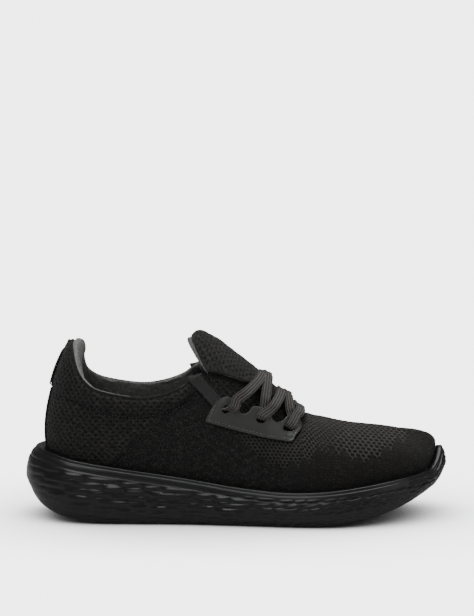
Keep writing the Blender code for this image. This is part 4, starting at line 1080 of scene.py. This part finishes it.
def build_tongue():
    v = np.linspace(-1, 1, 150)
    s = np.linspace(0, 1, 260)[:, None]
    end = 117.5 + 12.0 * np.abs(v) ** 2.5
    x = 203 + (end[None, :] - 203) * s
    V = np.broadcast_to(v[None, :], x.shape)
    p, n = tongue_face(x, V), tongue_normal(x, V)
    half = tongue_value(2, x)
    side = (1 - np.abs(V)) * half
    back = x - end[None, :]
    rim = np.minimum(side, back)
    u = p[..., 1] * 1.15
    run = np.cumsum(np.linalg.norm(np.diff(p, axis=0), axis=2), 0)
    w = -np.concatenate([np.zeros((1, len(v))), run], 0)
    dimple = dashes(u, w, *TONGUE_DIMPLES)
    beads = yarn(u, w, 2.0, 0.2)
    calm = smooth(0.6, 3.5, rim)
    puff = 0.5 * smooth(0, 9, rim) + 0.25 * fbm(u, w, 19, 0.3)
    height = (0.13 * beads - 0.48 * dimple) * calm + puff
    pad = 3.1 * np.clip((1 - np.abs(V)) / 0.45, 0, 1) ** 0.7 * np.clip((192 - x) / 14, 0.05, 1)
    outer = p + n * height[..., None]
    edge = smooth(0, 2.6, rim)
    inner = p - n * (1.5 + (1.6 + pad * 1.0) * edge)[..., None] + n * (0.15 * fbm(u, w, 12, 1.4))[..., None]
    round_edge = np.sqrt(np.clip(1 - (1 - np.clip(rim / 1.6, 0, 1)) ** 2, 0, 1))
    outer = outer - n * (0.9 * (1 - round_edge))[..., None]
    # painted shade: the dimples are painted darker; the beads are the yarn's mottle
    depth = (0.95 * beads - 1.4 * dimple) * calm + 0.22
    knit = grid_piece("tongue_knit", outer, M["knit_tongue"], np.stack([u, w], -1), depth)
    face_out(knit, (0.03, 0, 0.05))
    # the grey back, carried round the edge to meet the knit
    back_side = settle(inner, border_pins(inner, 3), 1.1, 1.4)
    back_side[0] = outer[0]
    back_side[:, 0] = outer[:, 0]
    back_side[:, -1] = outer[:, -1]
    curl = outer[-1] + np.array([-2.9, 0, -1.1]) * (1 - np.abs(v[:, None]) ** 4)
    under_curl = curl + np.array([0.5, 0, -1.2])
    back_side = np.concatenate([back_side[:-2], under_curl[None], curl[None], outer[-1:]])
    uv = np.stack([u, w], -1)
    uv = np.concatenate([uv, uv[-1:] - np.array([0, 1.0])])
    shade = np.full(back_side.shape[:2], 0.25)
    lining = grid_piece("tongue_lining", back_side, M["lining"], uv, shade)
    face_out(lining, (0.03, 0, 0.05))
    lining.data.flip_normals()
    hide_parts("tongue_base_knit", "tongue_flap_knit", "tongue_base_foam", "tongue_flap_foam")
    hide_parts("tongue_base_lining", "tongue_flap_lining")
    for obj in (knit, lining):
        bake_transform(obj)


def build_gussets():
    for name, side in (("gusset_lateral", -1), ("gusset_medial", 1)):
        xs = np.linspace(126, 195, 150)
        g = -side * ring_at(xs)
        anchor = [wall(g, t) - wall_normal(g, t) * 2.3 for t in (0.80, 0.93)]
        anchor.append(wall(g, 0.99) - wall_normal(g, 0.99) * 1.7 + np.array([0, 0, 0.3]))
        for share, drop in ((0.985, 2.3), (0.80, 2.6)):
            v = np.full_like(xs, share * side)
            anchor.append(tongue_face(xs, v) - tongue_normal(xs, v) * drop)
        rows = 44
        p = np.stack([spline(np.stack([a[i] for a in anchor]), rows) for i in range(len(xs))])
        n = grid_normals(p)
        u, w = p[..., 0], p[..., 2]
        weave = 0.05 * np.sin(2 * math.pi * u / 1.3) * np.sin(2 * math.pi * w / 1.2)
        soft = 0.22 * fbm(u, w, 15, 0.2) + weave
        p = p + n * soft[..., None]
        obj = grid_piece(name + "_knit", p, M["bootie"], np.stack([u, w], -1), np.full(p.shape[:2], 0.06))
        face_out(obj)
        dress(obj, "knit", "rearfoot", name)


# ---------------------------------------------------------------- eyestays

STAY_FOOT = [(128.5, 73.0), (150, 67.0), (172, 61.2), (192, 57.0)]
STAY_HEAD = [(135.5, 87.0), (152, 83.2), (175, 74.6), (197, 67.0)]
LACE_HOLES = [(0.17, 0.70), (0.55, 0.68), (0.85, 0.58)]
HOLE_SIZE = (2.8, 2.3)          # half width and half height
SLOT_SIZE = (3.9, 2.5)
STAY_THICK = 1.3
STAY_LENGTH = 63.0


def stay_curve(table, a):
    s = np.linspace(0, 1, 4)
    return np.stack([hermite(s, np.array([p[k] for p in table], float), a) for k in (0, 1)], -1)


class Stay:
    """Smooth sheet on one side of the upper, by share along and share up."""

    def __init__(self, side):
        self.side = side
        self.a, self.b = np.linspace(-0.04, 1.04, 28), np.linspace(-0.1, 1.45, 16)
        grid = np.zeros((28, 16, 3))
        for i, a in enumerate(self.a):
            for j, b in enumerate(self.b):
                foot, head = stay_curve(STAY_FOOT, a), stay_curve(STAY_HEAD, a)
                x, z = foot * (1 - b) + head * b
                ends = max(0.0, min(1.0, a / 0.14)) * max(0.0, min(1.0, (1 - a) / 0.09))
                stand = 0.6 + 4.4 * max(0.0, min(b, 1.2)) ** 1.2 * math.sin(ends * math.pi / 2)
                grid[i, j] = on_side(x, z, side, stand)
        self.grid = grid
        self.up = self._turn(grid_normals(grid))

    def _turn(self, n):
        return n * np.sign(n[..., 1:2] * self.side)

    def sample(self, a, b, field):
        """Bilinear in the sheet's own table, with smooth weights."""
        a, b = np.atleast_1d(a), np.atleast_1d(b)
        i = np.clip((a - self.a[0]) / (self.a[1] - self.a[0]), 0, 26.999)
        j = np.clip((b - self.b[0]) / (self.b[1] - self.b[0]), 0, 14.999)
        i0, j0 = i.astype(int), j.astype(int)
        fi, fj = (i - i0)[:, None], (j - j0)[:, None]
        out = 0.0
        for di in range(-1, 3):
            wi = self._cubic(fi, di)
            for dj in range(-1, 3):
                wj = self._cubic(fj, dj)
                out = out + wi * wj * field[np.clip(i0 + di, 0, 27), np.clip(j0 + dj, 0, 15)]
        return out

    @staticmethod
    def _cubic(f, k):
        return {-1: -0.5 * f + f * f - 0.5 * f ** 3, 0: 1 - 2.5 * f * f + 1.5 * f ** 3,
                1: 0.5 * f + 2 * f * f - 1.5 * f ** 3, 2: -0.5 * f * f + 0.5 * f ** 3}[k]

    def point(self, a, b, out=0.0):
        n = self.sample(a, b, self.up)
        n = n / np.linalg.norm(n, axis=1, keepdims=True)
        out = np.reshape(out, (-1, 1)) if np.ndim(out) else out
        return self.sample(a, b, self.grid) + n * out

    def frame(self, a, b):
        """Middle of the thickness, outward normal and direction to the head, at one spot."""
        middle = self.point(a, b, STAY_THICK / 2)[0]
        up = (self.point(a, b + 0.05, STAY_THICK / 2) - self.point(a, b - 0.05, STAY_THICK / 2))[0]
        run = (self.point(a + 0.03, b, STAY_THICK / 2) - self.point(a - 0.03, b, STAY_THICK / 2))[0]
        n = np.cross(run, up)
        n *= np.sign(n[1] * self.side) / np.linalg.norm(n)
        return middle, n, up / np.linalg.norm(up)


STAYS = {-1: Stay(-1), 1: Stay(1)}
STAY_SCALE = (63.0, 15.5)       # millimetres for one share along and one share up


def stay_outline():
    """Outline of the eyestay in its own millimetres: straight sewn foot and ends, scalloped head."""
    w, h = STAY_SCALE
    foot = [(w * s, 0.0) for s in np.linspace(0.012, 0.930, 40)]
    front = [(0.968, 0.35), (0.995, 0.8), (0.985, 0.985), (0.955, 1.03)]
    crown3 = [(0.90, 1.03), (0.83, 1.04), (0.785, 1.0)]
    dip2 = [(0.755, 0.80), (0.70, 0.70), (0.645, 0.80)]
    crown2 = [(0.615, 1.0), (0.56, 1.08), (0.505, 1.08), (0.455, 1.02)]
    dip1 = [(0.425, 0.80), (0.375, 0.68), (0.320, 0.78)]
    crown1 = [(0.285, 0.98), (0.22, 1.10), (0.14, 1.17), (0.07, 1.12), (0.025, 0.98)]
    back = [(0.0, 0.72), (-0.005, 0.35)]
    shares = front + crown3 + dip2 + crown2 + dip1 + crown1 + back
    head = [(w * a, h * b) for a, b in shares]
    loop = np.array(foot[::8] + [(w * 0.945, 0.7)] + head + [(w * -0.004, 0.7)])
    closed = np.concatenate([loop, loop[:1]])
    return spline(np.column_stack([closed, np.zeros(len(closed))]), 420, power=0.5)[:-1, :2]


def hole_loop(index):
    """Outline of a lace hole: an oval, or a rounded slot for the front one."""
    a, b = LACE_HOLES[index]
    w, h = STAY_SCALE
    turn = np.linspace(0, 2 * math.pi, 28, endpoint=False)
    c, s = np.cos(turn), np.sin(turn)
    half_wide, half_tall = HOLE_SIZE
    if index == 2:
        c, s = np.sign(c) * np.abs(c) ** 0.55, np.sign(s) * np.abs(s) ** 0.55
        half_wide, half_tall = SLOT_SIZE
    return np.column_stack([a * w + half_wide * c, b * h + half_tall * s])


def near(points, loop):
    """Distance from each point to a closed polyline."""
    a, b = loop, np.roll(loop, -1, 0)
    d = b - a
    best = np.full(len(points), 1e9)
    for i in range(len(a)):
        t = np.clip(((points - a[i]) @ d[i]) / (d[i] @ d[i] + 1e-12), 0, 1)
        best = np.minimum(best, np.linalg.norm(points - a[i] - t[:, None] * d[i], axis=1))
    return best


def inside(points, loop):
    a, b = loop, np.roll(loop, -1, 0)
    hit = np.zeros(len(points), bool)
    for i in range(len(a)):
        cross = (a[i, 1] > points[:, 1]) != (b[i, 1] > points[:, 1])
        xi = a[i, 0] + (points[:, 1] - a[i, 1]) * (b[i, 0] - a[i, 0]) / (b[i, 1] - a[i, 1] + 1e-12)
        hit ^= cross & (points[:, 0] < xi)
    return hit


def build_stay(side, name):
    stay = STAYS[side]
    w, h = STAY_SCALE
    edge = stay_outline()
    holes = [hole_loop(k) for k in range(3)]
    loops = [edge] + holes
    step = 0.6
    xs, ys = np.meshgrid(np.arange(-2, w + 2, step), np.arange(-1, h * 1.3, step), indexing="ij")
    inner = np.column_stack([xs.ravel(), ys.ravel()])
    inner = inner[inside(inner, edge)]
    for loop in holes:
        inner = inner[~inside(inner, loop)]
    gap = np.min([near(inner, loop) for loop in loops], axis=0)
    inner = inner[gap > 1.0]
    bands = []
    for k, loop in enumerate(loops):
        d = np.roll(loop, -1, 0) - np.roll(loop, 1, 0)
        n = np.column_stack([-d[:, 1], d[:, 0]])
        n /= np.linalg.norm(n, axis=1, keepdims=True)
        if inside(loop[:1] + n[:1] * 0.2, loop)[0] != (k == 0):
            n = -n
        for inset in (0.10, 0.28, 0.55):
            bands.append(loop + n * inset)
    points = [Vector(p) for p in np.concatenate(loops + bands + [inner])]
    starts = np.cumsum([0] + [len(l) for l in loops])
    edges = []
    for s, l in zip(starts, loops):
        edges += [(s + i, s + (i + 1) % len(l)) for i in range(len(l))]
    verts, _, faces, *_ = delaunay_2d_cdt(points, edges, [], 0, 1e-4)
    flat = np.array([tuple(v) for v in verts])
    tri = np.array([f for f in faces if len(f) == 3])
    middle = flat[tri].mean(1)
    keep = inside(middle, edge)
    for loop in holes:
        keep &= ~inside(middle, loop)
    tri = tri[keep]
    gap = np.min([near(flat, loop) for loop in loops], axis=0)
    gap_outer = near(flat, edge)
    roll = 0.55 * (1 - np.sqrt(np.clip(1 - (1 - np.clip(gap / 0.55, 0, 1)) ** 2, 0, 1)))
    sewn = (flat[:, 1] < h * 0.5) | (flat[:, 0] < w * 0.05) | (flat[:, 0] > w * 0.96)
    groove = 0.30 * np.exp(-((gap_outer - 1.9) / 0.45) ** 2) * sewn
    rims = np.min([near(flat, loop) for loop in holes], axis=0)
    press = 0.18 * np.exp(-((rims - 1.3) / 0.6) ** 2)
    wavy = 0.12 * fbm(flat[:, 0], flat[:, 1], 16, 0.5 + side)
    a, b = flat[:, 0] / w, flat[:, 1] / h
    outer = stay.point(a, b, STAY_THICK - roll - groove - press + wavy)
    under = stay.point(a, b, 0.0 + wavy)
    count = len(flat)
    ends = np.concatenate([tri[:, [0, 1]], tri[:, [1, 2]], tri[:, [2, 0]]])
    _, index, number = np.unique(np.sort(ends, 1), axis=0, return_inverse=True, return_counts=True)
    border = ends[number[index.ravel()] == 1]
    wall_faces = np.concatenate([np.column_stack([border[:, 1], border[:, 0], border[:, 0] + count]),
                                 np.column_stack([border[:, 1], border[:, 0] + count, border[:, 1] + count])])
    all_faces = np.concatenate([tri, tri[:, ::-1] + count, wall_faces])
    obj = new_piece(name + "_panel", np.concatenate([outer, under]), all_faces, M["eyestay"],
                    np.concatenate([flat, flat]))
    turn_out(obj)
    drop_loose(obj)
    dress(obj, "eyestay", "rearfoot", name)
    build_stay_stitches(stay, name)


def capsule(start, end, up, radius, sides=8):
    """Rounded rod from start to end, flattened a little along up."""
    axis = end - start
    length = np.linalg.norm(axis)
    axis = axis / length
    w = np.cross(axis, up)
    w /= np.linalg.norm(w)
    up = np.cross(w, axis)
    turn = np.linspace(0, 2 * math.pi, sides, endpoint=False)
    rows = []
    profile = [(0.0, 0.15), (0.12, 0.75), (0.35, 1.0), (0.65, 1.0), (0.88, 0.75), (1.0, 0.15)]
    for s, r in profile:
        bow = radius * 0.55 * math.sin(math.pi * s)
        centre = start + axis * length * s + up * bow
        rows.append(centre + radius * r * (np.cos(turn)[:, None] * w + 0.75 * np.sin(turn)[:, None] * up))
    p = np.concatenate(rows)
    count = len(rows)
    i, j = np.meshgrid(np.arange(count - 1), np.arange(sides), indexing="ij")
    n = (j + 1) % sides
    here, ahead = i * sides, (i + 1) * sides
    faces = np.stack([here + j, here + n, ahead + n, ahead + j], -1).reshape(-1, 4)
    caps = []
    for base in (0, (count - 1) * sides):
        for k in range(1, sides - 2, 2):
            quad = [base, base + k, base + k + 1, base + k + 2]
            caps.append(quad if base else quad[::-1])
    return p, np.concatenate([faces, np.array(caps)])


def stitch_row(name, path, normals, stitch, mat):
    """A row of separate stitches along a path, as one piece."""
    pitch, length, radius = stitch
    steps = arc_length(path)
    where = np.arange(pitch * 0.5, steps[-1] - pitch * 0.3, pitch)
    points, faces, base = [], [], 0

    def at(s, field):
        return np.array([np.interp(s, steps, field[:, k]) for k in range(3)])

    for s in where:
        up = at(s, normals)
        up /= np.linalg.norm(up)
        p, f = capsule(at(s - length / 2, path), at(s + length / 2, path), up, radius)
        points.append(p)
        faces.append(f + base)
        base += len(p)
    points = np.concatenate(points)
    return new_piece(name, points, np.concatenate(faces), mat, points[:, [0, 2]], weld=0)


def build_stay_stitches(stay, name):
    w, h = STAY_SCALE
    inset = 1.9
    lower = [(inset + 0.3, h * 0.80), (inset + 0.1, h * 0.45), (inset, inset)]
    lower += [(s, inset) for s in np.linspace(6, w - 9.5, 12)]
    lower += [(w - inset - 3.4, inset), (w - inset - 1.7, h * 0.45), (w - inset - 0.5, h * 0.86)]
    line = spline(np.column_stack([np.array(lower), np.zeros(len(lower))]), 260)
    a, b = line[:, 0] / w, line[:, 1] / h
    path = stay.point(a, b, STAY_THICK - 0.22)
    normals = stay.sample(a, b, stay.up)
    obj = stitch_row(name + "_stitches", path, normals, STAY_STITCH, M["thread"])
    dress(obj, "eyestay", "rearfoot")


# ---------------------------------------------------------------- straps, tape, tab

def ribbed_strip(name, centre, across, up, width, thick, material_name, ribs):
    """Woven strip along a path: closed, with rounded edges and lengthwise ribs."""
    sides = 40
    s = np.linspace(-1, 1, sides)
    shape = []
    for k in range(sides):
        edge = math.sqrt(max(0.0, 1 - abs(s[k]) ** 8))
        shape.append((s[k] * width / 2, thick / 2 * edge + RIB_WAVE * edge * math.cos(math.pi * ribs * s[k])))
    for k in range(sides - 2, 0, -1):
        edge = math.sqrt(max(0.0, 1 - abs(s[k]) ** 8))
        shape.append((s[k] * width / 2, -thick / 2 * edge))
    shape = np.array(shape)
    p = centre[:, None] + across[:, None] * shape[None, :, :1] + up[:, None] * shape[None, :, 1:]
    n, m = p.shape[:2]
    caps = []
    for base in (0, (n - 1) * m):
        for q in range(m // 2):
            quad = [base + q, base + (q + 1), base + (m - q - 1) % m, base + (m - q) % m]
            caps.append(quad[::-1] if base else quad)
    length = arc_length(centre)
    uv = np.stack([np.broadcast_to(shape[None, :, 0], (n, m)), np.broadcast_to(length[:, None], (n, m))], -1)
    faces = np.concatenate([tube_faces(n, m), np.array(caps)])
    obj = new_piece(name, p.reshape(-1, 3), faces, M[material_name], uv.reshape(-1, 2))
    turn_out(obj)
    return obj


def strip_frames(centre, up):
    tangent = np.gradient(centre, axis=0)
    tangent /= np.linalg.norm(tangent, axis=1, keepdims=True)
    across = np.cross(tangent, up)
    across /= np.linalg.norm(across, axis=1, keepdims=True)
    up = np.cross(across, tangent)
    return across, up


def build_straps():
    for name, side in (("collar_strap_lateral", -1), ("collar_strap_medial", 1)):
        line = [(120.3, 103.0), (124.5, 98.6), (129.5, 93.2), (134.5, 87.7), (138.5, 83.6)]
        keys = []
        g, t = side_ring(121.0, 100.5, side)
        top, n = wall(g, 1.0), wall_normal(g, 0.98)
        keys.append(np.concatenate([top - n * 4.2 + np.array([2.4, 0, -6.5]), -n]))
        keys.append(np.concatenate([top - n * 3.6 + np.array([0.6, 0, -1.4]), -n]))
        keys.append(np.concatenate([top - n * 1.3 + np.array([-0.4, 0, 0.9]), np.array([-0.4, 0, 0.9])]))
        for k, (x, z) in enumerate(line):
            g, t = side_ring(x, z, side)
            stand = 1.2 if k else 1.5
            keys.append(np.concatenate([wall(g, t) + stand * wall_normal(g, t), wall_normal(g, t)]))
        path = spline(np.array(keys), 90)
        across, up = strip_frames(path[:, :3], path[:, 3:])
        obj = ribbed_strip(name + "_webbing", path[:, :3], across, up, 8.2, 1.0, "webbing", 8)
        dress(obj, "webbing", "rearfoot", name)


def heel_path(z0, z1, out, count):
    t = np.linspace(0, 1, 400)
    column = wall(np.ones_like(t), t)
    steps = np.interp(np.linspace(z0, z1, count), column[:, 2], t)
    n = wall_normal(np.full_like(steps, 0.9999), steps)
    n[:, 1] = 0
    n /= np.linalg.norm(n, axis=1, keepdims=True)
    return wall(np.ones_like(steps), steps) + n * out, n


def build_heel_tape():
    path, n = heel_path(51.0, 90.6, 0.40, 60)
    across, up = strip_frames(path, n)
    obj = ribbed_strip("heel_tape_webbing", path, across, up, 13.0, 0.7, "webbing", 9)
    bend_to_heel(obj)
    dress(obj, "webbing", "rearfoot", "heel_tape")
    # the tab is a loop: two plies that part a little and turn over at the top
    near_ply, _ = heel_path(93.0, 117.0, 0.75, 30)
    far_ply, n = heel_path(93.0, 117.0, 1.95, 30)
    bulge = np.sin(np.linspace(0, math.pi, 30))[:, None]
    far_ply = far_ply + n * bulge * 0.45
    top = near_ply[-1] * 0.5 + far_ply[-1] * 0.5 + np.array([0.9, 0, 1.6])
    keys = np.concatenate([near_ply[::4], [top], far_ply[::-4]])
    path = spline(keys, 110)
    tangent = np.gradient(path, axis=0)
    up = np.column_stack([-tangent[:, 2], np.zeros(len(path)), tangent[:, 0]])
    up = -up / np.linalg.norm(up, axis=1, keepdims=True)
    across, up = strip_frames(path, up)
    obj = ribbed_strip("pull_tab_loop", path, across, up, 12.6, 0.9, "tab", 9)
    bend_to_heel(obj)
    dress(obj, "webbing", "pull_tab", "pull_tab")


def bend_to_heel(obj):
    """Curves a flat strip round the back of the heel."""
    co = np.array([v.co for v in obj.data.vertices])
    co[:, 0] += 0.016 / MM * co[:, 1] ** 2
    obj.data.vertices.foreach_set("co", co.astype(np.float32).ravel())
    obj.data.update()


# ---------------------------------------------------------------- lace

LACE_WIDTH = 7.2
LACE_RIBS = 4
LACE_THICK = 1.5
LACE_LIFT = LACE_THICK / 2 + 0.45
TURN = STAY_THICK / 2 + LACE_LIFT + 0.05
STRANDS = [
    (0, -1, True, 1, 1, 168.0, 0.0),
    (1, 1, True, 2, -1, 183.6, 2.1),
    (2, -1, True, 2, 1, 192.0, 4.2),
    (2, 1, False, 1, -1, 180.8, 0.3),
    (1, -1, False, 0, 1, 170.2, 2.0),
]


def lace_turn(hole, side, up_first, lean=0.0):
    centre, normal, head = STAYS[side].frame(*LACE_HOLES[hole])
    pivot = centre + head * 1.9
    out = []
    for degrees in (-90, -30, 30, 90):
        a = math.radians(degrees)
        away = normal * math.sin(a) - head * math.cos(a)
        swing = np.array([lean * 3.0 * max(0.0, math.sin(a)), 0, 0])
        out.append((pivot + away * TURN + swing, away))
    return out if up_first else out[::-1]


def lace_edge(hole, side, over, lean):
    share, _ = LACE_HOLES[hole]
    centre, normal, head = STAYS[side].frame(share + lean * 0.25, 1.02)
    sign = 1 if over else -1
    return centre + head * 1.5 + normal * sign * (TURN + 0.30), normal * sign


def clear_of_tongue(spot, lift):
    """Moves a lace point out of the tongue, along the tongue's normal."""
    for _ in range(4):
        x = float(np.clip(spot[0], 118, 200))
        v = float(np.clip(spot[1] / float(tongue_value(2, x)), -1.12, 1.12))
        if abs(v) > 1.1:
            return spot
        face, n = tongue_face(x, v), tongue_normal(x, v)
        short = LACE_LIFT + 0.25 + lift - (spot - face) @ n
        if short > 0:
            spot = spot + n * short
    return spot


def lace_arch(edge, crest, lift, sign):
    """Stations from a panel's edge to the crest: straight from the side, arched from the front."""
    out = []
    for s in (0.22, 0.45, 0.68, 0.86):
        a = s * math.pi / 2
        spot = edge + (crest - edge) * math.sin(a)
        spot[1] = edge[1] * math.cos(a) ** 1.12
        n = np.array([0.35 * math.sin(a), sign * math.cos(a), math.sin(a)])
        out.append((clear_of_tongue(spot, lift * s), n / np.linalg.norm(n)))
    return out


def lace_tail(hole, side, last):
    share, up = LACE_HOLES[hole]
    out = []
    for lift in (0.30, 0.15):
        centre, normal, _ = STAYS[side].frame(share - 0.02, up + lift)
        out.append((centre - normal * TURN, -normal))
    return out[::-1] if last else out


def lace_stations():
    out = lace_tail(0, -1, False)
    for hole, side, over, next_hole, next_side, crest, lift in STRANDS:
        this_x = STAYS[side].frame(*LACE_HOLES[hole])[0][0]
        next_x = STAYS[next_side].frame(*LACE_HOLES[next_hole])[0][0]
        both_over = hole == next_hole
        out += lace_turn(hole, side, over, (crest - this_x) / 14.0 if over else 0.0)
        first = lace_edge(hole, side, over, (crest - this_x) / STAY_LENGTH)
        last = lace_edge(next_hole, next_side, both_over or not over, (crest - next_x) / STAY_LENGTH)
        n = tongue_normal(crest, 0.0)
        top = tongue_face(crest, 0.0) + n * (LACE_LIFT + 0.4 + lift)
        out.append(first)
        out += lace_arch(first[0], top, lift, side)
        out.append((top, n))
        out += lace_arch(last[0], top, lift, next_side)[::-1]
        out.append(last)
    out += lace_turn(0, 1, False)
    return out + lace_tail(0, 1, True)


def build_lace():
    stations = lace_stations()
    centres = np.array([s[0] for s in stations])
    normals = np.array([s[1] for s in stations], float)
    for i in range(1, len(normals)):
        normals[i] *= 1 if normals[i] @ normals[i - 1] > 0 else -1
    path = spline(np.concatenate([centres, normals], 1), 1100)
    for _ in range(4):
        path[1:-1] = 0.5 * path[1:-1] + 0.25 * (path[:-2] + path[2:])
    across, up = strip_frames(path[:, :3], path[:, 3:])
    length = arc_length(path[:, :3])
    s = np.linspace(-1, 1, 44)
    shape = []
    for direction in (1, -1):
        for v in (s if direction > 0 else s[::-1][1:-1]):
            edge = (1 - abs(v) ** 6) ** 0.5 if abs(v) < 1 else 0.0
            crown = LACE_THICK / 2 * edge
            rib = 0.26 * edge * (abs(math.cos(math.pi * LACE_RIBS * (v + 1) / 2)) - 0.7)
            shape.append((v * LACE_WIDTH / 2, direction * (crown + rib)))
    shape = np.array(shape)
    pulse = 1 + 0.03 * np.sin(length * 2 * math.pi / 1.4)[:, None, None]
    p = (path[:, None, :3] + across[:, None] * shape[None, :, :1]
         + up[:, None] * shape[None, :, 1:] * pulse)
    n, m = p.shape[:2]
    caps = []
    for base in (0, (n - 1) * m):
        for q in range(m // 2):
            caps.append([base + q, base + q + 1, base + (m - q - 1) % m, base + (m - q) % m])
    uv = np.stack([np.broadcast_to(shape[None, :, 0], (n, m)), np.broadcast_to(length[:, None], (n, m))], -1)
    faces = np.concatenate([tube_faces(n, m), np.array(caps)])
    obj = new_piece("lace_flat", p.reshape(-1, 3), faces, M["lace"], uv.reshape(-1, 2))
    turn_out(obj)
    dress(obj, "lace", "rearfoot", "lace")


# ---------------------------------------------------------------- seams

def side_path(spots, side, count):
    """Smooth path over the upper through (x, z) spots: points and normals."""
    keys = []
    for x, z in spots:
        g, t = side_ring(x, z, side)
        keys.append(np.concatenate([wall(g, t), wall_normal(g, t)]))
    path = spline(np.array(keys), count)
    return path[:, :3], path[:, 3:]


def build_seams():
    """Dark stitches along the padding line and the heel seam, on both sides."""
    for label, side in (("lateral", -1), ("medial", 1)):
        pad = [(44, 83.0), (58, 78.4), (74, 75.8), (86, 76.2), (98, 78.2), (109, 82.0), (119, 86.8)]
        path, n = side_path(pad, side, 200)
        obj = stitch_row("padding_stitches_" + label, path - n * 0.25, n, PAD_STITCH, M["thread_dark"])
        dress(obj, "knit", "rearfoot")
        (x0, z0), (x1, z1) = SEAM
        spots = [(x0 + (x1 - x0) * s, z0 + (z1 - z0) * s) for s in np.linspace(0.12, 1.0, 12)]
        path, n = side_path(spots, side, 160)
        obj = stitch_row("quarter_seam_" + label, path - n * 0.30, n, SEAM_STITCH, M["thread_dark"])
        dress(obj, "knit", "rearfoot")


# ---------------------------------------------------------------- stage

def build_stage():
    mesh = bpy.data.meshes.new("floor")
    # floor that sweeps up into a backdrop
    rows = []
    for k in range(41):
        s = k / 40
        if s < 0.5:
            rows.append((-2.5 + s * 2 * 4.2, 0.0))
        else:
            a = (s - 0.5) * math.pi
            rows.append((1.7 + 2.0 * math.sin(a), 2.0 * (1 - math.cos(a))))
    rows.append((3.7, 6.0))
    verts = [(x, y, z) for y, z in rows for x in (-6.0, 6.0)]
    faces = [(2 * i, 2 * i + 1, 2 * i + 3, 2 * i + 2) for i in range(len(rows) - 1)]
    mesh.from_pydata(verts, [], faces)
    mesh.shade_smooth()
    floor = bpy.data.objects.new("floor", mesh)
    bpy.context.scene.collection.objects.link(floor)
    mat, nodes, links, shader = material("backdrop_paper")
    shader.inputs["Base Color"].default_value = (0.60, 0.60, 0.605, 1)
    shader.inputs["Roughness"].default_value = 0.9
    shader.inputs["Specular IOR Level"].default_value = 0.1
    # painted contact shadow: the floor's glow, which only the camera sees, is darkened by ambient occlusion
    # near the shoe
    painted_contact_shadow = nodes.new("ShaderNodeAmbientOcclusion")
    painted_contact_shadow.samples = 12
    painted_contact_shadow.inputs["Distance"].default_value = 0.115
    soft = mix_value(nodes, links, painted_contact_shadow.outputs["AO"], 2.2, "POWER")
    glow = nodes.new("ShaderNodeEmission")
    glow.inputs["Color"].default_value = (1.0, 1.0, 1.004, 1)
    links.new(mix_value(nodes, links, soft, 4.4), glow.inputs["Strength"])
    seen = nodes.new("ShaderNodeLightPath")
    mix = nodes.new("ShaderNodeMixShader")
    links.new(seen.outputs["Is Camera Ray"], mix.inputs["Fac"])
    links.new(shader.outputs["BSDF"], mix.inputs[1])
    links.new(glow.outputs["Emission"], mix.inputs[2])
    below = nodes.new("ShaderNodeNewGeometry")
    clear = nodes.new("ShaderNodeBsdfTransparent")
    whole = nodes.new("ShaderNodeMixShader")
    links.new(below.outputs["Backfacing"], whole.inputs["Fac"])
    links.new(mix.outputs["Shader"], whole.inputs[1])
    links.new(clear.outputs["BSDF"], whole.inputs[2])
    links.new(whole.outputs["Shader"], nodes["Material Output"].inputs["Surface"])
    mesh.materials.append(mat)


def area_light(name, place, target, size, power, colour=(1, 1, 1)):
    data = bpy.data.lights.new(name, "AREA")
    data.shape = "RECTANGLE"
    data.size, data.size_y = size
    data.energy = power
    data.color = colour
    light = bpy.data.objects.new(name, data)
    light.location = place
    light.rotation_euler = (Vector(target) - Vector(place)).to_track_quat("-Z", "Y").to_euler()
    bpy.context.scene.collection.objects.link(light)


def build_lights():
    world = bpy.data.worlds.new("studio")
    bpy.context.scene.world = world
    world.use_nodes = True
    world.node_tree.nodes["Background"].inputs["Color"].default_value = (0.95, 0.96, 1.0, 1)
    world.node_tree.nodes["Background"].inputs["Strength"].default_value = 0.26
    area_light("key", (-0.5, -1.1, 1.5), (0, 0, 0.05), (1.0, 1.0), 15)
    area_light("top", (0.15, 0.15, 1.5), (0, 0, 0.0), (1.2, 0.8), 17)
    area_light("fill", (1.4, -0.9, 0.7), (0, 0, 0.05), (0.9, 0.9), 3)


def build_camera():
    elevation = math.radians(VIEW_ELEVATION)
    target = Vector(VIEW_TARGET)
    data = bpy.data.cameras.new("camera")
    data.sensor_fit = "VERTICAL"
    data.sensor_height = 36
    data.lens = data.sensor_height * VIEW_DISTANCE / VIEW_HEIGHT
    camera = bpy.data.objects.new("camera", data)
    camera.location = target + Vector((0, -math.cos(elevation), math.sin(elevation))) * VIEW_DISTANCE
    camera.rotation_euler = (target - camera.location).to_track_quat("-Z", "Y").to_euler()
    bpy.context.scene.collection.objects.link(camera)
    bpy.context.scene.camera = camera


build_midsole()
build_sockliner()
build_treads()
build_upper()
build_lining()
build_tongue()
build_gussets()
build_stay(-1, "eyestay_lateral")
build_stay(1, "eyestay_medial")
build_straps()
build_heel_tape()
build_lace()
build_seams()
build_stage()
build_lights()
build_camera()
